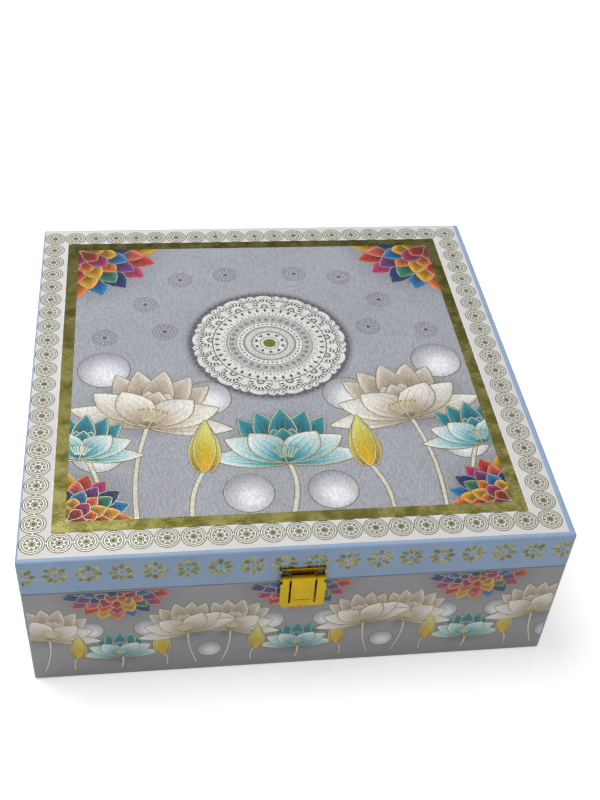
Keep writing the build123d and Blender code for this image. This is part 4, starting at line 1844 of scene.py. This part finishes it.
@dataclass
class LidWrap:
    """Blue paper over the lid, with foil daisies round its sides.

    Args:
        finishes: Materials.
        inset: How far the paper lies inside the CAD outline, which leaves room for the foil.
        corner: Corner radius.
        rim: Radius of the lower rim.
        reach: How far the paper turns in over the rim.
        lap: How far the paper reaches over the top, under the printed sheet.
        drop: How far its top lies below the CAD one.
        daisies: Flowers along each side.
        daisy_pitch: From one flower to the next.
        daisy_shift: From the face's middle to the row's.
        daisy_radius: Radius of a flower.
        daisy_height: Height of the flowers' centres.
        body: CAD body that it rides on.
    """

    finishes: Finishes
    inset: float = 0.1
    corner: float = 1.45
    rim: float = 0.6
    reach: float = 3.2
    lap: float = 14.0
    drop: float = 0.03
    daisies: int = 18
    daisy_pitch: float = 14.55
    daisy_shift: float = -1.2
    daisy_radius: float = 6.3
    daisy_height: float = 79.2
    body: str = "lid"

    def build(self) -> None:
        """Make the skin and the foil flowers."""
        low, high = node_box("lid_wrap")
        half = (high[0] - self.inset, high[1] - self.inset)
        bottom, top = low[2], high[2] - self.drop
        c, r = self.corner, self.rim
        profile = np.concatenate([
            [(self.reach, bottom), (r + EDGE_ROW, bottom)],
            rounded_run((r, bottom), (r, bottom + r), (0, bottom + r)),
            [(0, bottom + r + EDGE_ROW), (0, top - c - EDGE_ROW)],
            rounded_run((0, top - c), (c, top - c), (c, top), 7),
            [(c + 0.6, top), (self.lap, top)],
        ])
        skin = wrapped_skin("lid_paper", profile, half, self.corner, Tint.PAPER_BLUE)
        skin.data.materials.append(self.finishes.blue)
        thicken(skin, PAPER_THICKNESS)
        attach(skin, self.body)
        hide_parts("lid_wrap")
        start = -self.daisy_pitch * (self.daisies - 1) / 2
        x = start + self.daisy_pitch * np.arange(self.daisies) + self.daisy_shift
        places = np.stack([x, np.zeros(self.daisies)], -1)
        row = foil_daisy(self.daisy_radius).repeated(places)
        flat = half[0] - self.corner - PRINT_MARGIN
        row = row.within((-flat, -self.daisy_radius), (flat, self.daisy_radius))
        inset = self.inset - SIDE_GAP
        faces = [([row], along_side(side, high[:2], inset, self.daisy_height)) for side in Side]
        lay("lid_daisies", faces, self.finishes.side_foil, self.body)
        LOG.info("lid paper with %d daisies on each side", self.daisies)


@dataclass
class BaseWrap:
    """Printed paper over the base: a repeat of fans, lilies, tulips and pearls on each side.

    Args:
        finishes: Materials.
        inset: How far the paper lies inside the CAD outline.
        corner: Corner radius.
        rim: Radius of the upper rim.
        reach: How far the paper turns in over the rim.
        turn_in: How far the paper reaches under the bottom.
        repeats: Repeats of the pattern along each side.
        plain_strip: Height of the unprinted strip at the foot.
        body: CAD body that it rides on.
    """

    finishes: Finishes
    inset: float = 0.22
    corner: float = 1.1
    rim: float = 0.6
    reach: float = 3.2
    turn_in: float = 15.0
    repeats: int = 3
    plain_strip: float = 6.0
    body: str = "base"

    def unit(self, width: float, height: float) -> Artwork:
        """One repeat, its origin at the middle of its foot.

        Args:
            width: Width of the repeat.
            height: From the foot to the rim.

        Returns:
            The repeat.
        """
        art = Artwork()
        ground = Tint.GROUND_BASE
        art.ink(soft_shadow(64, 52, ground).placed(0, height), 0.6)
        art.stamp(rainbow_fan(25.0, TURN / 2, 0.2), 0, height + 3, -math.pi / 2, level=45)
        art.ink(soft_shadow(40, 26, ground).placed(0, 14), 0.8)
        art.stamp(stem((0, 12), (0, 0), 1.0, 1.1), level=4)
        art.stamp(water_lily(TEAL_FLOWER, 0.014), 0, 9, 0.0, 20, level=6)
        for sign, mirror, level in ((-1, True, 9), (1, False, 30)):
            x = sign * (width / 2 - 10)
            art.ink(soft_shadow(34, 28, ground).placed(x, 31), 1.0 + 0.01 * level)
            art.stamp(pearl(6.2, 0.2), sign * 13, 31, level=3)
            art.stamp(stem((sign * 20, 11), (sign * 22, 0), sign, 0.9), level=4)
            art.stamp(tulip(0.018), sign * 20, 9, sign * 0.05, 19, mirror, level=24)
            art.stamp(stem((x, 28), (x + sign * 4, 0), -sign * 1.5, 1.0), level=4.5)
            art.stamp(water_lily(IVORY_FLOWER, 0.014), x, 25, sign * 0.25, 25, mirror, level=level)
        art.stamp(pearl(6.0, 0.2), width / 2, 11, level=3)
        return art

    def build(self) -> None:
        """Make the skin and the prints on its four sides."""
        low, high = node_box("base_wrap")
        half = (high[0] - self.inset, high[1] - self.inset)
        bottom, top = low[2], high[2]
        c, r = self.corner, self.rim
        profile = np.concatenate([
            [(self.turn_in, bottom), (c + 0.6, bottom)],
            rounded_run((c, bottom), (c, bottom + c), (0, bottom + c), 7),
            [(0, bottom + c + EDGE_ROW), (0, top - r - EDGE_ROW)],
            rounded_run((0, top - r), (r, top - r), (r, top)),
            [(r + EDGE_ROW, top), (self.reach, top)],
        ])
        skin = wrapped_skin("base_paper", profile, half, self.corner, Tint.GROUND_BASE)
        skin.data.materials.append(self.finishes.side_print)
        thicken(skin, PAPER_THICKNESS)
        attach(skin, self.body)
        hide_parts("base_wrap")
        width = (high[0] - low[0]) / self.repeats
        height = top - self.plain_strip
        unit = self.unit(width, height)
        whole = Artwork()
        for index in range(self.repeats):
            whole.stamp(unit, (index - (self.repeats - 1) / 2) * width, 0)
        flat = half[0] - self.corner - PRINT_MARGIN
        whole = whole.within((-flat, 0), (flat, height - r - 2 * PRINT_MARGIN))
        planes = [along_side(side, high[:2], self.inset - SIDE_GAP, self.plain_strip) for side in Side]
        printed = [(whole.inks, plane) for plane in planes]
        gilded = [(whole.foils, plane) for plane in planes]
        inks = lay("base_inks", printed, self.finishes.side_print, self.body)
        lay("base_line_foil", gilded, self.finishes.side_line, self.body)
        LOG.info("base paper with %d repeats on each side", self.repeats)


@dataclass
class Carcass:
    """Boards, linings and the jar tray, all CAD nodes.

    Args:
        finishes: Materials.
    """

    finishes: Finishes

    def build(self) -> None:
        """Dress the boards, linings and tray."""
        names = list(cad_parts)
        boards = [n for n in names if n.endswith(("_wall", "_rim", "_bottom", "_top_panel"))]
        dress(boards, self.finishes.board)
        dress(["base_lining", "lid_lining", "base_underside_paper"], self.finishes.lining)
        dress([n for n in names if n.startswith("jar_tray")], self.finishes.velvet)


@dataclass
class JarSet:
    """Glass jars with lacquered twist-off caps and their seals, all CAD nodes.

    Args:
        finishes: Materials.
        count: Number of jars.
    """

    finishes: Finishes
    count: int = 4

    def build(self) -> None:
        """Dress the jars, caps and seals."""
        numbers = range(1, self.count + 1)
        dress([f"jar_{n}" for n in numbers], self.finishes.glass)
        dress([f"jar_cap_{n}" for n in numbers], self.finishes.cap)
        dress([f"jar_cap_liner_{n}" for n in numbers], self.finishes.seal)


@dataclass
class Hardware:
    """Hinges and latch, all CAD nodes.

    Args:
        finishes: Materials.
    """

    finishes: Finishes

    def build(self) -> None:
        """Dress the hinges and the latch."""
        names = list(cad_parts)
        dress([n for n in names if n.startswith("hinge_")], self.finishes.hinge)
        dress([n for n in names if n.startswith("latch_")], self.finishes.latch)


# Studio


def facing(right: np.ndarray, back: np.ndarray, place: np.ndarray) -> Matrix:
    """Set of a camera or a lamp, which looks away from its backwards axis.

    Args:
        right: Direction of its right-hand axis.
        back: Direction of its backwards axis.
        place: In metres.

    Returns:
        The matrix.
    """
    rows = np.column_stack([right, np.cross(back, right), back, place]).tolist()
    return Matrix([*rows, [0, 0, 0, 1]])


@dataclass
class Studio:
    """Pale floor, soft lights, white surroundings and the camera, in millimetres and degrees.

    Args:
        camera_place: Place of the camera.
        azimuth: Direction the camera stands in, from the front towards the right.
        elevation: How steeply it looks down.
        roll: Turn about its line of sight.
        lens: Focal length for a frame whose long side is the sensor.
        sensor: Long side of the sensor.
        floor_size: Width of the floor.
        floor_lift: Light on the floor that the camera, gloss and glass see, which makes it white.
        far_lift: The same far from the box, where the lamps no longer reach.
        lift_reach: Where the near lift ends and where the far one starts, in metres from the box.
        key: Place, size and power of the lamp over the box.
        fill: Place, size and power of the lamp in front of it.
        sky_light: Strength of the surroundings' own light.
        ceiling: Sines of the heights where the pale ceiling starts and where it is full.
        wall: Sines of the heights where the white wall ends, from full to nothing.
    """

    camera_place: tuple[float, float, float] = (-62.626, -437.838, 471.035)
    azimuth: float = -9.949
    elevation: float = 42.671
    roll: float = 4.852
    lens: float = 49.65
    sensor: float = 36.0
    floor_size: float = 9000.0
    floor_lift: float = 0.5
    far_lift: float = 0.8
    lift_reach: tuple[float, float] = (0.6, 2.0)
    key: tuple[tuple[float, float, float], float, float] = ((-450, 300, 1400), 900, 14.6)
    fill: tuple[tuple[float, float, float], float, float] = ((300, -1500, 700), 900, 2.0)
    sky_light: float = 0.6
    ceiling: tuple[float, float] = (0.575, 0.64)
    wall: tuple[float, float] = (0.34, 0.42)

    def camera(self) -> None:
        """Camera at the photograph's angle: backwards axis from azimuth and elevation, its right
        axis turned about that by the roll."""
        a, e, r = (math.radians(value) for value in (self.azimuth, self.elevation, self.roll))
        back = np.array([math.sin(a) * math.cos(e), -math.cos(a) * math.cos(e), math.sin(e)])
        level = np.array([math.cos(a), math.sin(a), 0.0])
        right = math.cos(r) * level + math.sin(r) * np.cross(back, level)
        data = bpy.data.cameras.new("camera")
        data.lens, data.sensor_width = self.lens, self.sensor
        data.clip_start, data.clip_end = 0.01, 20.0
        camera = bpy.data.objects.new("camera", data)
        camera.matrix_world = facing(right, back, np.array(self.camera_place) * MM)
        bpy.context.scene.collection.objects.link(camera)
        bpy.context.scene.camera = camera

    def floor(self) -> None:
        """Flat pale floor under the box."""
        half = self.floor_size / 2
        flat = rectangle((-half, -half), (half, half), Tint.LINE_WHITE)
        points = np.concatenate([flat.points, np.full((4, 1), -0.05)], axis=1)
        piece = put_mesh("floor", points, flat.quads)
        made, graph, shader = new_material("floor_white", Base_Color=(0.9, 0.9, 0.9, 1.0), Roughness=0.9)
        shader.inputs["Specular IOR Level"].default_value = 0.0
        place = graph.add("ShaderNodeTexCoord").outputs["Object"]
        away = graph.add("ShaderNodeVectorMath", {0: place}, operation="LENGTH").outputs["Value"]
        lift = graph.ranged(away, *self.lift_reach, self.floor_lift, self.far_lift)
        glow = graph.add("ShaderNodeEmission", {"Color": (1.0, 1.0, 1.0, 1.0), "Strength": lift})
        lifted = graph.add("ShaderNodeAddShader", {0: shader.outputs[0], 1: glow.outputs[0]})
        both = graph.seen_as(shader.outputs[0], lifted.outputs[0])
        graph.feed(both, made.node_tree.nodes["Material Output"].inputs["Surface"])
        piece.data.materials.append(made)

    def lamp(self, name: str, place: tuple[float, float, float], size: float, power: float) -> None:
        """Square soft lamp that faces the middle of the box.

        Args:
            name: Lamp name.
            place: In millimetres.
            size: Side in millimetres.
            power: In watts.
        """
        data = bpy.data.lights.new(name, "AREA")
        data.size, data.energy = size * MM, power
        lamp = bpy.data.objects.new(name, data)
        away = np.array(place) - (0, 0, 60)
        back = away / np.linalg.norm(away)
        right = np.cross((0.0, 1.0, 0.0), back)
        right /= np.linalg.norm(right)
        lamp.matrix_world = facing(right, back, np.array(place) * MM)
        bpy.context.scene.collection.objects.link(lamp)

    def surroundings(self) -> None:
        """Light from above. The camera, gloss and glass see white up to 20 degrees over the horizon,
        a dark gap above that, and the same pale ceiling that gives the light."""
        world = bpy.data.worlds.new("surroundings")
        bpy.context.scene.world = world
        world.use_nodes = True
        graph = Graph(world.node_tree)
        soft = world.node_tree.nodes["Background"]
        place = graph.add("ShaderNodeTexCoord").outputs["Generated"]
        height = graph.add("ShaderNodeSeparateXYZ", {0: place}).outputs["Z"]
        ramp = graph.ranged(height, *self.ceiling, 0.12, 0.8)
        graph.feed(graph.grey(ramp), soft.inputs["Color"])
        soft.inputs["Strength"].default_value = self.sky_light
        wall = graph.ranged(height, *self.wall, 1.0, 0.0)
        seen = graph.maths("MAXIMUM", wall, graph.maths("MULTIPLY", ramp, self.sky_light))
        white = graph.add("ShaderNodeBackground", {"Color": graph.grey(seen), "Strength": 1.0})
        both = graph.seen_as(soft.outputs[0], white.outputs[0])
        graph.feed(both, world.node_tree.nodes["World Output"].inputs["Surface"])

    def build(self) -> None:
        """Set the studio up."""
        bpy.context.scene.view_settings.view_transform = "Standard"
        self.camera()
        self.floor()
        self.lamp("key", *self.key)
        self.lamp("fill", *self.fill)
        self.surroundings()
        LOG.info("studio ready")


def main() -> None:
    """Build the box and its studio in order."""
    logging.basicConfig(level=logging.INFO, format="%(name)s: %(message)s")
    finishes = Finishes()
    assemblies = (
        Carcass(finishes),
        JarSet(finishes),
        Hardware(finishes),
        BaseWrap(finishes),
        LidWrap(finishes),
        LidTop(finishes),
        Studio(),
    )
    for assembly in assemblies:
        assembly.build()
        LOG.info("built %s", type(assembly).__name__)


if __name__ == "__main__":
    main()
